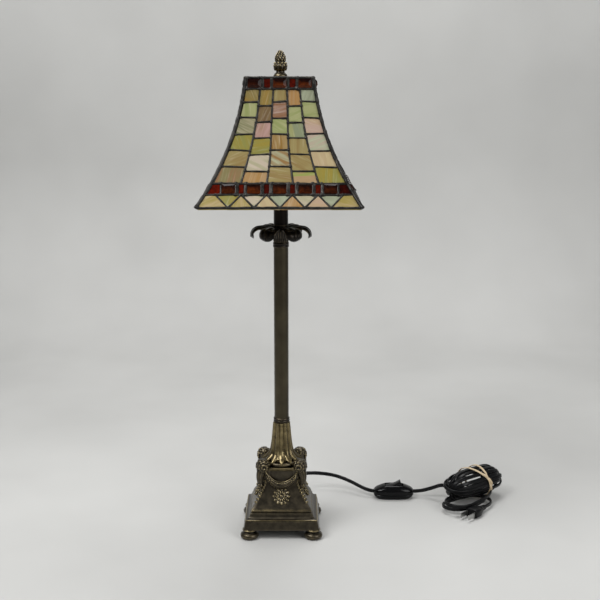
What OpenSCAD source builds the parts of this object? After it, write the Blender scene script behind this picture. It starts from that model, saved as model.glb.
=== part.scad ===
// Buffet table lamp: a leaded glass shade on a harp, a slim column on a square cast base,
// and a flat twin lead with an in-line rocker switch, wound up in a bundle.
// Millimetres. +Z up, the front faces -Y, the origin is on the table under the column.

/* [Base] */
// Width of the plinth block over its bottom edge
plinth_w = 101; // [98:1:104]
// Height of the plinth block
block_h = 12; // [11:1:14]
// Diameter of a bun foot
foot_d = 25; // [22:1:26]
// Height of a bun foot
foot_h = 13; // [12:1:15]
// Width of the pedestal at its neck
neck_w = 47; // [46:1:48]
// Height of the concave pedestal
pedestal_h = 50; // [50:1:52]

/* [Column] */
// Height of the fluted cup that carries the column
flute_h = 51; // [48:1:56]
// Height of the plain column tube
column_h = 230; // [180:1:300]
// Diameter of the plain column tube
column_d = 19.2; // [18.6:0.1:19.6]
// Reach of the leaf crown from the axis
crown_r = 40.6; // [38:0.1:42]

/* [Shade] */
// Width of the shade over its bottom edge
shade_w = 203.2; // [200:0.1:206]
// Width of the shade over its top edge
shade_top_w = 84.4; // [83:0.1:86]
// Height of the shade
shade_h = 156.4; // [155:0.1:158]
// How far the flared side bows in from a straight line
shade_bow = 11; // [10:0.5:12]
// Width of a solder line between two pieces of glass
came_w = 2.8; // [2:0.1:3.2]

/* [Lead] */
// Width of the flat twin lead
lead_w = 5.4; // [5:0.1:5.6]
// Thickness of the flat twin lead
lead_t = 3.2; // [3:0.1:3.4]

/* [Hidden] */
$fn = 64;
run_gap = 0.06; // radial running clearance of a turning fit
lift = 0.1; // gap between flat faces of pieces that part

// The stack, from the table up
z_block = foot_h;
z_step = z_block + block_h;
step_h = 9;
z_bead = z_step + step_h;
bead_h = 4;
z_pedestal = z_bead + bead_h;
z_abacus = z_pedestal + pedestal_h;
abacus_h = 3;
z_saucer = z_abacus + abacus_h;
saucer_h = 6;
z_flute = z_saucer + saucer_h;
z_collar = z_flute + flute_h;
collar_h = 7;
z_column = z_collar + collar_h;
z_collar_up = z_column + column_h;
z_cup = z_collar_up + collar_h;
cup_h = 23;
z_tube = z_cup + cup_h;
tube_h = 42;
z_saddle = z_tube + tube_h;

plinth_r = plinth_w / 2;
neck_r = neck_w / 2;
flare_r = 40; // half width of the pedestal at its foot
sweep_h = 34; // height of its sweep
foot_at = plinth_r - 8.2; // a foot's centre, along X and along Y
pipe_r = 5.15; // threaded lamp pipe
pipe_bore = 3.6;
pipe_hole = 5.3; // clearance hole over the pipe
z_pipe = z_abacus - 18;
exit_z = z_step + 4; // height of the lead's way out
relief_end = 72; // where the strain relief ends, along Y

// The flared side of the shade is an arc about (arc_y, arc_z), seen from the side
z_shade = z_saddle - 10.4;
z_top = z_shade + shade_h;
side_run = (shade_w - shade_top_w) / 2;
side_len = norm([side_run, shade_h]);
arc_r = side_len * side_len / (8 * shade_bow) + shade_bow / 2;
arc_y = (shade_w + shade_top_w) / 4 + (arc_r - shade_bow) * shade_h / side_len;
arc_z = (z_shade + z_top) / 2 + (arc_r - shade_bow) * side_run / side_len;
function half_at(z) = arc_y - sqrt(arc_r * arc_r - (z - arc_z) * (z - arc_z));
function tilt_at(z) = asin((arc_z - z) / arc_r);

// The leadwork of one face, heights measured from the top edge down
came_t = 3.6;
glass_in = 0.5; // the glass lies this far under the solder's face
glass_t = 2.6;
rim_h = 2.4;
seam_w = 4.4; // solder bead along a corner
edge_in = 4.6; // the end columns stop this far from the corner
border_top = 2.6; // upper row of jewels
border_end = 14.4;
field_top = 15.6; // field of plain pieces
field_end = 126;
row_pitch = 19.35;
row_first = [15.6, 20.5]; // first piece of odd and of even columns
band_top = 128.6; // lower row of jewels
band_end = 138.6;
skirt_top = 141.4; // zigzag skirt
skirt_end = 153.6;
zig = 31; // pitch of the zigzag and of the jewels
jewel_w = 15.5;
bar_w = 6;
column_part = [-1, -0.59, -0.195, 0.195, 0.59, 1]; // column bounds, as parts of the half width

// Harp, socket and bulb
harp_x = 31;
harp_r = 1.6;
z_seat = z_top - 5; // top of the harp's seat
stud_r = 3.1;
washer_t = 0.8;
spider_t = 1.6;
z_spider = z_seat + washer_t + 2 * lift;
z_socket = z_saddle + 1.5;
socket_r = 16.5;
socket_h = 46;
bulb_r = 22.5;
base_r = 13; // screw base of the bulb
z_finial = z_spider + spider_t + lift;

// Lead, switch and bundle on the table
switch_at = [161, 101];
switch_l = 58;
switch_wide = 27;
switch_h = 20;
switch_split = 7;
switch_z = 9.5; // height of the lead's ways in and out
pivot_z = 13;
pivot_r = 1.25;
rocker_w = 11;
lead_route = [[0, 72, 29], [0, 84, 29], [4, 98, 29], [12, 112, 28], [24, 124, 27], [40, 132, 26],
    [58, 135, 24], [75, 133, 22], [90, 127, 19], [103, 118, 16], [114, 109, 13], [123, 103, 11],
    [132, 101, 9.5]];
tail_route = [[190, 101, 9.5], [200, 101, 10], [209, 101, 12], [218, 98, 16], [226, 93, 21],
    [232, 87, 26]];
upper_a = [252, 75]; // ends of the upper half of the bundle
upper_b = [298, 108];
upper_r = 24;
lower_a = [244, 47]; // ends of the lower half of the bundle
lower_b = [290, 98];
lower_r = 19;
bundle_split = 19;
bundle_h = 46;
band_at = [284, 93];
band_turn = 40;
band_size = [3.4, 51.2, 47.6]; // along the bundle, across it, up
band_t = 1.4;
plug_at = [271, 33];
plug_turn = 47;
plug_l = 24;
plug_wide = 19;
plug_h = 13;
blade_gap = 12.7;

bronze = "#4a4234";
dark_bronze = "#2b2520";
solder = "#3a3a3a";
black = "#16161a";

// ---- helpers ----
module at_corners(d) {
    for (x = [-d, d], y = [-d, d])
        translate([x, y, 0]) children();
}

module four_sides() {
    for (a = [0:90:270])
        rotate([0, 0, a]) children();
}

// A square moulding: the profile's half widths, run along X and along Y and mitred
module square_moulding(profile, reach) {
    outline = concat(profile, [for (i = [len(profile) - 1:-1:0]) [-profile[i].x, profile[i].y]]);
    intersection() {
        rotate([90, 0, 0])
            linear_extrude(2 * reach, center = true) polygon(outline);
        rotate([90, 0, 90])
            linear_extrude(2 * reach, center = true) polygon(outline);
    }
}

module ring(r_out, r_in, h) {
    difference() {
        cylinder(r = r_out, h = h);
        translate([0, 0, -1]) cylinder(r = r_in, h = h + 2);
    }
}

module spun(profile) {
    rotate_extrude($fn = 96) polygon(profile);
}

module stadium(a, b, r) {
    hull() {
        translate(a) circle(r);
        translate(b) circle(r);
    }
}

// Tube of oval section on its edge, swept along a route, eight sides
function unit(v) = v / norm(v);
function heading(p, i) = unit(p[min(i + 1, len(p) - 1)] - p[max(i - 1, 0)]);
function side_of(t) = unit(cross(t, [0, 0, 1]));
function oval(p, t, w, h) = [for (k = [0:7]) let (a = 22.5 + 45 * k)
    p + side_of(t) * (w / 2 * cos(a)) + cross(side_of(t), t) * (h / 2 * sin(a))];
function mid(p, i, s) = let (n = len(p) - 1, a = p[max(i - 1, 0)], b = p[i], c = p[i + 1],
    d = p[min(i + 2, n)])
    b + s * (c - a) / 2 + s * s * (a - 2.5 * b + 2 * c - d / 2)
    + s * s * s * (1.5 * (b - c) + (d - a) / 2);
function smooth_route(p, n) = concat([for (i = [0:len(p) - 2], k = [0:n - 1]) mid(p, i, k / n)],
    [p[len(p) - 1]]);

module swept(route) {
    line = smooth_route(route, 2);
    n = len(line);
    rings = [for (i = [0:n - 1]) each oval(line[i], heading(line, i), lead_t / cos(22.5),
        lead_w / cos(22.5))];
    sides = [for (i = [0:n - 2], k = [0:7]) [8 * i + k, 8 * i + (k + 1) % 8,
        8 * (i + 1) + (k + 1) % 8, 8 * (i + 1) + k]];
    polyhedron(rings, concat([[for (k = [7:-1:0]) k]], sides, [[for (k = [0:7]) 8 * (n - 1) + k]]),
        convexity = 6);
}

// ---- base ----
module feet() {
    color(bronze) at_corners(foot_at) difference() {
        spun([[0, 0], [8, 0], [foot_d / 2 - 1, 2.2], [foot_d / 2, 4.5], [foot_d / 2 - 1.2, 6.8],
            [8.6, 8.6], [7.2, 10], [8.4, 11.6], [8.4, foot_h], [0, foot_h]]);
        translate([0, 0, 5]) cylinder(r = 2, h = foot_h);
    }
}

module foot_screws() {
    color("silver") at_corners(foot_at) {
        translate([0, 0, 5.2]) cylinder(r = 1.95, h = z_block + 9 - 5.2);
        translate([0, 0, z_block + 9]) cylinder(r = 3.6, h = 2.2);
    }
}

module base_plate() {
    color("dimgray") translate([0, 0, z_block]) linear_extrude(1.5) difference() {
        square(2 * 41.7, center = true);
        at_corners(foot_at) circle(9.3);
    }
}

module plinth() {
    top_half = 42;
    cavetto = [for (a = [0:15:90]) [48 - 6 * sin(a), z_step + 1.5 + 6.5 * (1 - cos(a))]];
    bead = [for (a = [-90:30:90]) [39.4 + 0.9 * cos(a), z_bead + bead_h / 2 + bead_h / 2 * sin(a)]];
    color(bronze) difference() {
        square_moulding(concat([[plinth_r, z_block], [plinth_r - 2.2, z_step], [48, z_step]],
            cavetto, [[top_half - 1, z_bead]], bead), plinth_r + 5);
        translate([0, 0, z_block - 1]) linear_extrude(block_h + 1) difference() {
            square(2 * top_half, center = true);
            at_corners(foot_at) circle(9);
        }
        translate([0, 0, z_step - 0.01]) linear_extrude(step_h + bead_h + 1)
            square(2 * 35.5, center = true);
        at_corners(foot_at) {
            translate([0, 0, z_block - 1]) cylinder(r = 2, h = 11);
            translate([0, 0, z_block + 9]) cylinder(r = 4, h = 2.6);
        }
        translate([0, 30, exit_z]) rotate([-90, 0, 0]) cylinder(r = 4, h = 30);
    }
}

// Half the pedestal's width at a share of its sweep's height
function flare_at(t) = neck_r + (flare_r - neck_r) * pow(1 - t, 1.4);

module pedestal_body() {
    side = [for (t = [0:0.1:1]) [flare_at(t), z_pedestal + sweep_h * t]];
    lip = [for (a = [-90:30:90]) [neck_r - 0.5 + 1.6 * cos(a),
        z_abacus + abacus_h / 2 + abacus_h / 2 * sin(a)]];
    square_moulding(concat(side, [[neck_r, z_abacus]], lip), flare_r + 5);
}

module pedestal() {
    roof = 7;
    color(bronze) difference() {
        pedestal_body();
        translate([0, 0, z_pedestal - 1]) linear_extrude(pedestal_h + abacus_h - roof + 1)
            square(2 * 18.5, center = true);
        translate([0, 0, z_abacus - 10]) cylinder(r = pipe_hole, h = 20);
        // shallow panel above each garland
        four_sides() translate([-15, -neck_r - 1, z_abacus - 18])
            cube([30, 1.8, 16]);
    }
}

// Ram's head at a corner: skull, muzzle and two curled horns
module ram_head() {
    horn_at = [22.5, 30.5];
    translate([28, -28, z_abacus - 2]) sphere(r = 8.5);
    translate([27, -27, z_abacus - 3]) rotate([0, 140, -45]) cylinder(r1 = 6.5, r2 = 3.6, h = 19);
    for (s = [0, 1])
        rotate([0, 0, -45]) mirror([0, s, 0]) rotate([0, 0, 45])
            translate([horn_at.x, -horn_at.y, z_abacus + 4]) rotate([90, 0, 0])
                rotate_extrude($fn = 48) translate([4.6, 0]) circle(r = 2.3, $fn = 24);
}

module ram_heads() {
    color(bronze) difference() {
        four_sides() ram_head();
        pedestal_body();
    }
}

module garlands() {
    reach = 19;
    drop = 11;
    hang_r = (reach * reach + drop * drop) / (2 * drop);
    angle = asin(reach / hang_r);
    color(bronze) difference() {
        four_sides() translate([0, -neck_r - 2.6, z_abacus - 23 + hang_r]) rotate([90, 0, 0])
            rotate([0, 0, 270 - angle]) rotate_extrude(angle = 2 * angle, $fn = 96)
                translate([hang_r, 0]) circle(r = 2.2, $fn = 24);
        pedestal_body();
        four_sides() ram_head();
    }
}

module rosettes() {
    petals = 12;
    color(bronze) difference() {
        four_sides() translate([0, -30.4, z_pedestal + 15.5]) rotate([90 - 29, 0, 0]) {
            cylinder(r = 10.4, h = 3.6);
            for (k = [0:petals - 1])
                rotate([0, 0, 360 / petals * k]) translate([9.6, 0, 0]) cylinder(r = 2.4, h = 3.2);
            cylinder(r = 3.2, h = 5);
        }
        pedestal_body();
        garland_room();
    }
}

// The garland hangs just over the rosette's rim
module garland_room() {
    four_sides() translate([-12, -38, z_abacus - 26]) cube([24, 16, 12]);
}

module husk_drops() {
    color(bronze) difference() {
        four_sides() for (k = [0:3])
            translate([1, -1, 0] * (1.2 + flare_at(min(1, (27.8 - 6 * k) / sweep_h)))
                + [0, 0, z_abacus - 19.4 - 6 * k])
                rotate([0, 155, -45]) cylinder(r1 = 1.2, r2 = 3.3 - 0.3 * k, h = 5.6);
        pedestal_body();
        four_sides() ram_head();
    }
}

// ---- column ----
module saucer() {
    color(bronze) translate([0, 0, z_saucer]) spun([[pipe_hole, 0], [20.5, 0], [24, 1.6],
        [25, 3.4], [24.2, 5.2], [22, saucer_h], [pipe_hole, saucer_h]]);
}

module flute_cup() {
    tips = 12;
    wall = [for (a = [0:10:90]) [14 + 10.6 * (1 - sin(a)), 1.6 + 15 * (1 - cos(a))]];
    color(bronze) translate([0, 0, z_flute]) difference() {
        spun(concat([[pipe_hole, 0], [22, 0]], wall, [[11.6, flute_h * 0.6],
            [9.7, flute_h], [pipe_hole, flute_h]]));
        for (k = [0:tips - 1]) {
            rotate([0, 0, 360 / tips * (k + 0.5)]) translate([24.6, 0, -1]) cylinder(r = 3.4, h = 12);
            rotate([0, 0, 360 / tips * (k + 0.5)]) translate([14.9, 0, 12]) rotate([0, -6.5, 0])
                cylinder(r = 1.6, h = flute_h);
        }
    }
}

module lower_collar() {
    color(dark_bronze) translate([0, 0, z_collar]) spun([[pipe_hole, 0], [9.8, 0], [10.8, 1.2],
        [10.8, 3], [10.2, 3.6], [10.8, 4.4], [10.8, 6], [10, collar_h], [pipe_hole, collar_h]]);
}

module column_tube() {
    color("#554c3c") translate([0, 0, z_column]) ring(column_d / 2, column_d / 2 - 1.2, column_h);
}

module upper_collar() {
    color(dark_bronze) translate([0, 0, z_collar_up]) spun([[pipe_hole, 0], [10, 0], [10.4, 1],
        [10.4, 2.8], [9.9, 3.5], [10.4, 4.2], [10.4, 6], [9.8, collar_h], [pipe_hole, collar_h]]);
}

module capital_cup() {
    color(dark_bronze) translate([0, 0, z_cup]) spun([[pipe_hole, 0], [9.6, 0], [9.9, 5],
        [11.6, 9], [13.2, 13.8], [13.2, 16], [9.8, 16], [9.8, cup_h], [pipe_hole, cup_h]]);
}

// Drooping leaf: a spun gutter cut to a leaf's outline
module leaf_crown() {
    mid_r = 25;
    tip_r = 16;
    color(dark_bronze) intersection() {
        translate([0, 0, z_cup + 16]) spun(concat([[9.9, 0], [9.9, 2.4]],
            [for (a = [100:-12.5:0]) [mid_r + (crown_r - mid_r) * cos(a), -11 + tip_r * sin(a)]],
            [for (a = [0:12.5:100]) [mid_r + (crown_r - mid_r - 3) * cos(a),
                -11 + (tip_r - 3) * sin(a)]]));
        translate([0, 0, z_cup]) linear_extrude(30) {
            circle(14);
            for (k = [0:5])
                rotate([0, 0, 60 * k]) translate([crown_r / 2 + 4, 0])
                    intersection() {
                        translate([0, -14]) circle(25);
                        translate([0, 14]) circle(25);
                    }
        }
    }
}

module upper_tube() {
    color("#241b17") translate([0, 0, z_tube]) ring(9.4, 8.4, tube_h);
}

module threaded_pipe() {
    color("goldenrod") translate([0, 0, z_pipe]) ring(pipe_r, pipe_bore, z_socket + 8 - z_pipe);
}

module pipe_washer() {
    color("silver") translate([0, 0, z_abacus - 5.5]) ring(11, pipe_hole, 1.5);
}

module pipe_nut() {
    color("goldenrod") translate([0, 0, z_abacus - 10]) difference() {
        cylinder(r = 9, h = 4.4, $fn = 6);
        translate([0, 0, -1]) cylinder(r = pipe_r, h = 7);
    }
}

// ---- harp and socket ----
module harp_saddle() {
    arm = 9;
    color("goldenrod") difference() {
        union() {
            translate([-harp_x, -arm / 2, z_saddle]) cube([2 * harp_x, arm, 1.5]);
            translate([0, 0, z_saddle]) cylinder(r = 9.5, h = 1.5);
            for (x = [-harp_x, harp_x])
                translate([x, 0, z_saddle]) {
                    cylinder(r = arm / 2, h = 1.5);
                    cylinder(r = 2.6, h = 9);
                }
        }
        translate([0, 0, z_saddle - 1]) cylinder(r = pipe_hole, h = 4);
        for (x = [-harp_x, harp_x])
            translate([x, 0, z_saddle + 1.5]) cylinder(r = harp_r, h = 9);
    }
}

module harp_ferrules() {
    color("goldenrod") for (x = [-harp_x, harp_x])
        translate([x, 0, z_saddle + 1.6]) ring(3.5, 2.65, 12);
}

module harp() {
    arch_z = z_seat - 2 - harp_x - harp_r;
    color("goldenrod") {
        for (x = [-harp_x, harp_x])
            translate([x, 0, z_saddle + 1.6]) cylinder(r = harp_r - 0.02, h = arch_z - z_saddle - 1.6);
        translate([0, 0, arch_z]) rotate([90, 0, 0]) rotate_extrude(angle = 180, $fn = 96)
            translate([harp_x, 0]) circle(r = harp_r - 0.02, $fn = 32);
        translate([0, 0, z_seat - 4]) cylinder(r = 7.5, h = 4);
        translate([0, 0, z_seat]) cylinder(r = stud_r, h = 11);
    }
}

module socket_cap() {
    color("goldenrod") translate([0, 0, z_socket]) difference() {
        spun([[0, 0], [10, 0], [15.4, 5], [socket_r + 0.9, 9], [socket_r + 0.9, 13], [0, 13]]);
        translate([0, 0, -1]) cylinder(r = pipe_r, h = 9.1);
        translate([0, 0, 8]) cylinder(r = socket_r + 0.1, h = 6);
    }
}

module socket_shell() {
    color("goldenrod") translate([0, 0, z_socket + 8]) ring(socket_r, socket_r - 0.6, socket_h - 8);
}

module socket_liner() {
    color("#2a2622") translate([0, 0, z_socket + 8]) difference() {
        cylinder(r = socket_r - 0.65, h = socket_h - 9);
        translate([0, 0, 12]) cylinder(r = base_r + 1.1, h = socket_h);
        translate([0, 0, -1]) cylinder(r = 3.2, h = 8);
        translate([0, 0, 4]) cylinder(r = 6, h = 6.5);
        translate([0, 0, 10.4]) cylinder(r = 4.2, h = 3);
    }
}

module screw_shell() {
    color("gold") translate([0, 0, z_socket + 20]) ring(base_r + 1, base_r + run_gap, 22);
}

module centre_contact() {
    color("gold") translate([0, 0, z_socket + 18.5]) {
        cylinder(r = 4.1, h = 0.8);
        translate([0, 0, 0.8]) cylinder(r = 2.2, h = 1.4);
    }
}

// The lead inside the lamp: in through the back wall, round, and up the pipe
module inner_lead() {
    bend = 22;
    color(black) {
        translate([0, bend, exit_z]) rotate([-90, 0, 0]) cylinder(r = 2.4, h = 43 - bend);
        translate([0, bend, exit_z + bend]) rotate([0, 90, 180])
            rotate_extrude(angle = 90, $fn = 96) translate([bend, 0]) circle(r = 2.4, $fn = 32);
        translate([0, 0, exit_z + bend]) cylinder(r = 2.4, h = z_socket + 13 - exit_z - bend);
    }
}

module bulb_base() {
    color("silver") translate([0, 0, z_socket + 20.8]) {
        cylinder(r = 5, h = 1.6);
        translate([0, 0, 1.6]) cylinder(r1 = 8, r2 = base_r, h = 3.4);
        translate([0, 0, 5]) cylinder(r = base_r, h = 20);
    }
}

module bulb_glass() {
    bulge = 64.5; // height of the widest place above the socket's foot
    color("white", 0.6) translate([0, 0, z_socket + 45.8]) difference() {
        union() {
            spun([[0, 0], [12.6, 0], [13.4, 4], [18.5, 11.5], [bulb_r - 0.6, bulge - 50],
                [0, bulge - 50]]);
            translate([0, 0, bulge - 45.8]) sphere(r = bulb_r, $fn = 96);
        }
        translate([0, 0, bulge - 45.8]) sphere(r = bulb_r - 1, $fn = 96);
        translate([0, 0, -30]) cylinder(r = 40, h = 30);
    }
}

// ---- shade ----
// A curved sheet on the front face, between depths d0 and d1 under the outer face
module flared_sheet(d0, d1, z0, z1) {
    intersection() {
        translate([0, -arc_y, arc_z]) rotate([0, 90, 0]) difference() {
            cylinder(r = arc_r + d1, h = 2 * shade_w, center = true, $fn = 720);
            cylinder(r = arc_r + d0, h = 3 * shade_w, center = true, $fn = 720);
        }
        translate([-shade_w, -shade_w, z0]) cube([2 * shade_w, shade_w - 10, z1 - z0]);
    }
}

module front_sector() {
    translate([0, 0, z_shade - 10]) linear_extrude(shade_h + 20)
        polygon([[0, 0], [-shade_w, -shade_w], [shade_w, -shade_w]]);
}

module corner_plates(w) {
    for (a = [-45, 45])
        rotate([0, 0, a]) translate([-w / 2, -2 * shade_w, z_shade - 10])
            cube([w, 2 * shade_w, shade_h + 20]);
}

// Width at a depth below the top edge, and a column's bound there
function wide(d) = half_at(z_top - d) - edge_in + came_w / 2;
function bound(i, d) = column_part[i] * wide(d);

// A piece between two bounds and two depths, cut straight, clear of the solder
module pane(i, d0, d1) {
    g = came_w / 2;
    polygon([[bound(i, d0) + g, -d0 - g], [bound(i + 1, d0) - g, -d0 - g],
        [bound(i + 1, d1) - g, -d1 + g], [bound(i, d1) + g, -d1 + g]]);
}

function cuts(i) = concat([field_top - came_w / 2],
    [for (k = [0:4]) field_top + row_first[i % 2] + row_pitch * k], [field_end + came_w / 2]);

module field_panes() {
    for (i = [0:4]) let (c = cuts(i))
        for (k = [0:5]) pane(i, c[k], c[k + 1]);
}

module skirt_panes() {
    g = came_w / 2;
    slant = norm([zig / 2, skirt_end - skirt_top]) / (skirt_end - skirt_top) * g;
    tall = skirt_end - skirt_top;
    side = tall / (zig / 2);
    blunt = slant * 1.5;
    for (k = [-2:2]) // points down
        polygon([[zig * k - zig / 2 + slant, -skirt_top], [zig * k + zig / 2 - slant, -skirt_top],
            [zig * k, -skirt_end + slant * side]]);
    for (k = [-1.5:1:1.5]) // points up
        polygon([[zig * k - zig / 2 + slant, -skirt_end], [zig * k + zig / 2 - slant, -skirt_end],
            [zig * k, -skirt_top - slant * side]]);
    for (s = [-1, 1])
        polygon([[s * (2.5 * zig + slant), -skirt_top], [s * (2 * zig + slant), -skirt_end],
            [s * (wide(skirt_end) - g), -skirt_end], [s * (wide(skirt_top) - g), -skirt_top]]);
}

jewel_places = concat([for (k = [-1:1]) [k * zig, (border_top + border_end) / 2, 11.8]],
    [for (k = [-2:2]) [k * zig, (band_top + band_end) / 2, 10]]);

module jewel_panes() {
    for (j = jewel_places)
        translate([j[0], -j[1]]) square([jewel_w, j[2]], center = true);
}

module bar_panes() {
    for (k = [-0.5, 0.5])
        translate([k * zig, -(border_top + border_end) / 2]) square([bar_w, 11.8], center = true);
    for (k = [-1.5:1:1.5])
        translate([k * zig, -(band_top + band_end) / 2]) square([bar_w, 10], center = true);
    for (s = [-1, 1])
        polygon([[s * (2 * zig + jewel_w / 2 + 3.4), -band_top],
            [s * (2 * zig + jewel_w / 2 + 3.4), -band_end],
            [s * (wide(band_end) - came_w / 2), -band_end],
            [s * (wide(band_top) - came_w / 2), -band_top]]);
}

// The elevation drawing, pushed through the front face
module through_face() {
    translate([0, 0, z_top]) rotate([90, 0, 0]) linear_extrude(shade_w) children();
}

module came() {
    color(solder) difference() {
        intersection() {
            flared_sheet(0, came_t, z_shade + rim_h, z_top - rim_h);
            front_sector();
        }
        corner_plates(seam_w);
        through_face() {
            field_panes();
            skirt_panes();
            jewel_panes();
            bar_panes();
        }
    }
}

// Glass pieces of one face, trimmed where the next face's corner begins
module glass_set() {
    difference() {
        intersection() {
            flared_sheet(glass_in, glass_in + glass_t, z_shade, z_top);
            through_face() children();
        }
        corner_plates(seam_w);
    }
}

module corner_seams() {
    color(solder) four_sides() intersection() {
        union() {
            intersection() {
                flared_sheet(-0.9, came_t + 0.4, z_shade + rim_h, z_top - rim_h);
                front_sector();
            }
            rotate([0, 0, 90]) intersection() {
                flared_sheet(-0.9, came_t + 0.4, z_shade + rim_h, z_top - rim_h);
                front_sector();
            }
        }
        rotate([0, 0, 45]) translate([-seam_w / 2, -2 * shade_w, z_shade - 10])
            cube([seam_w, 2 * shade_w, shade_h + 20]);
    }
}

module rim_wires() {
    color(solder) for (z = [z_shade, z_top - rim_h])
        four_sides() intersection() {
            flared_sheet(-0.4, came_t + 0.4, z, z + rim_h);
            front_sector();
        }
}

module jewels() {
    sink = 1;
    proud = 3;
    color("#4a0d0a") four_sides() {
        glass_set() jewel_panes();
        for (j = jewel_places) let (z = z_top - j[1])
            translate([j[0], -half_at(z), z]) rotate([90 - tilt_at(z), 0, 0])
                translate([0, 0, -glass_in - sink]) linear_extrude(proud + sink, scale = 0.5)
                    square([jewel_w - 1, j[2] - 1], center = true);
    }
}

module shade_spider() {
    arm = 8;
    reach = half_at(z_top - 5) - came_t - 1.2;
    color("goldenrod") translate([0, 0, z_spider]) difference() {
        union() {
            cylinder(r = 11, h = spider_t);
            for (a = [0, 90])
                rotate([0, 0, a]) translate([-reach, -arm / 2, 0]) cube([2 * reach, arm, spider_t]);
        }
        translate([0, 0, -1]) cylinder(r = stud_r + 0.3, h = 4);
    }
}

module shade_washer() {
    color("silver") translate([0, 0, z_seat + lift]) ring(7.4, stud_r + 0.3, washer_t);
}

module finial() {
    tall = 34.6;
    color(bronze) translate([0, 0, z_finial]) difference() {
        spun([[0, 0], [8.4, 0], [9.4, 1.2], [9.4, 3.2], [7.8, 5.6], [6, 7.2], [6.1, 9.2],
            [9.2, 11.8], [9.8, 14.6], [9, 17.2], [7, 20.6], [7.2, 22.2], [8, 24.6], [6.4, 27.2],
            [5.2, 29.8], [3.8, 32.6], [1.6, 34.2], [0, tall]]);
        translate([0, 0, -1]) cylinder(r = stud_r + run_gap, h = 11);
    }
}

// ---- lead, switch, bundle and plug ----
module strain_relief() {
    color(black) translate([0, 0, exit_z]) rotate([-90, 0, 0]) {
        translate([0, 0, 43]) cylinder(r = 3.9, h = 8);
        translate([0, 0, 51]) cylinder(r = 4.8, h = 2);
        translate([0, 0, 53]) cylinder(r1 = 4.2, r2 = 3.1, h = relief_end - 53);
    }
}

module lead_tube() {
    color(black) swept(lead_route);
}

module tail_tube() {
    color(black) difference() {
        swept(tail_route);
        bundle_outline(upper_a, upper_b, upper_r, 0, bundle_h);
    }
}

// The switch case: plan, side and end outlines run together
module switch_case(inset) {
    l = switch_l / 2 - inset;
    w = switch_wide / 2 - inset;
    h = switch_h - inset;
    translate([switch_at.x, switch_at.y, 0]) intersection() {
        translate([0, 0, inset]) linear_extrude(switch_h)
            polygon([[-l, -w + 8], [-l + 9, -w], [l - 9, -w], [l, -w + 8], [l, w - 8],
                [l - 9, w], [-l + 9, w], [-l, w - 8]]);
        rotate([90, 0, 0]) linear_extrude(2 * switch_wide, center = true)
            polygon([[-l, 0], [-l, h - 6], [-l + 10, h], [l - 10, h], [l, h - 6], [l, 0]]);
        rotate([90, 0, 90]) linear_extrude(2 * switch_l, center = true)
            polygon([[-w + 2.5, 0], [-w, 3], [-w, h - 6], [-w + 5, h], [w - 5, h], [w, h - 6],
                [w, 3], [w - 2.5, 0]]);
    }
}

module switch_bores() {
    translate([switch_at.x, switch_at.y, switch_z]) rotate([0, 90, 0])
        cylinder(r = 3, h = 2 * switch_l, center = true);
}

module switch_screw_places() {
    for (x = [-20, 20])
        translate([switch_at.x + x, switch_at.y, 0]) children();
}

module switch_lower() {
    color(black) difference() {
        intersection() {
            switch_case(0);
            cube([400, 400, switch_split]);
        }
        switch_case(2);
        switch_bores();
        switch_screw_places() translate([0, 0, -1]) cylinder(r = 1.5, h = 10);
        for (x = [-16, 0, 16])
            translate([switch_at.x + x - 2, switch_at.y - switch_wide / 2 - 1, 2.5]) cube([4, 2.2, 2.5]);
    }
}

module switch_upper() {
    slot_ends = [-12.5, 14]; // the rocker's raised end swings out as it goes down
    color(black) difference() {
        intersection() {
            switch_case(0);
            translate([0, 0, switch_split]) cube([400, 400, 40]);
        }
        difference() {
            switch_case(2);
            switch_screw_places() cylinder(r = 3.4, h = 40);
        }
        switch_bores();
        translate([switch_at.x + slot_ends[0], switch_at.y - rocker_w / 2 - 0.4, switch_h - 5])
            cube([slot_ends[1] - slot_ends[0], rocker_w + 0.8, 10]);
        pin_shape();
        switch_screw_places() translate([0, 0, -1]) cylinder(r = 1.5, h = 12);
    }
}

module switch_screws() {
    color("silver") switch_screw_places() translate([0, 0, 2.2]) cylinder(r = 1.45, h = 8.4);
}

module rocker() {
    c = [switch_at.x, switch_at.y, pivot_z];
    color(black) translate(c) rotate([90, 0, 0]) difference() {
        linear_extrude(rocker_w, center = true)
            polygon([[-11.4, 4.4], [-11.4, 6.4], [-6, 6.6], [-1, 7.4], [4, 9.4], [9.4, 12.8],
                [11.6, 7.4], [11, 4], [3, -3], [-3, -3]]);
        cylinder(r = pivot_r + run_gap, h = 2 * rocker_w, center = true);
    }
}

// The pin's ends sit in the side walls of the case
module pin_shape() {
    translate([switch_at.x, switch_at.y, pivot_z]) rotate([90, 0, 0])
        cylinder(r = pivot_r, h = switch_wide - 5, center = true);
}

module rocker_pin() {
    color("silver") pin_shape();
}

module bundle_outline(a, b, r, z0, z1) {
    translate([0, 0, z0]) linear_extrude(z1 - z0) stadium(a, b, r);
}

module bundle_upper() {
    color(black) difference() {
        bundle_outline(upper_a, upper_b, upper_r, bundle_split, bundle_h);
        rubber_band_ring();
    }
}

module bundle_lower() {
    color(black) difference() {
        bundle_outline(lower_a, lower_b, lower_r, 0, bundle_split);
        rubber_band_ring();
        plug_body();
    }
}

module rubber_band_ring() {
    translate([band_at.x, band_at.y, band_size.z / 2]) rotate([0, 0, band_turn])
        difference() {
            cube(band_size, center = true);
            cube([10, band_size.y - 2 * band_t, band_size.z - 2 * band_t], center = true);
        }
}

module rubber_band() {
    color("wheat") rubber_band_ring();
}

module at_plug() {
    translate([plug_at.x, plug_at.y, 0]) rotate([0, 0, plug_turn]) children();
}

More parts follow.
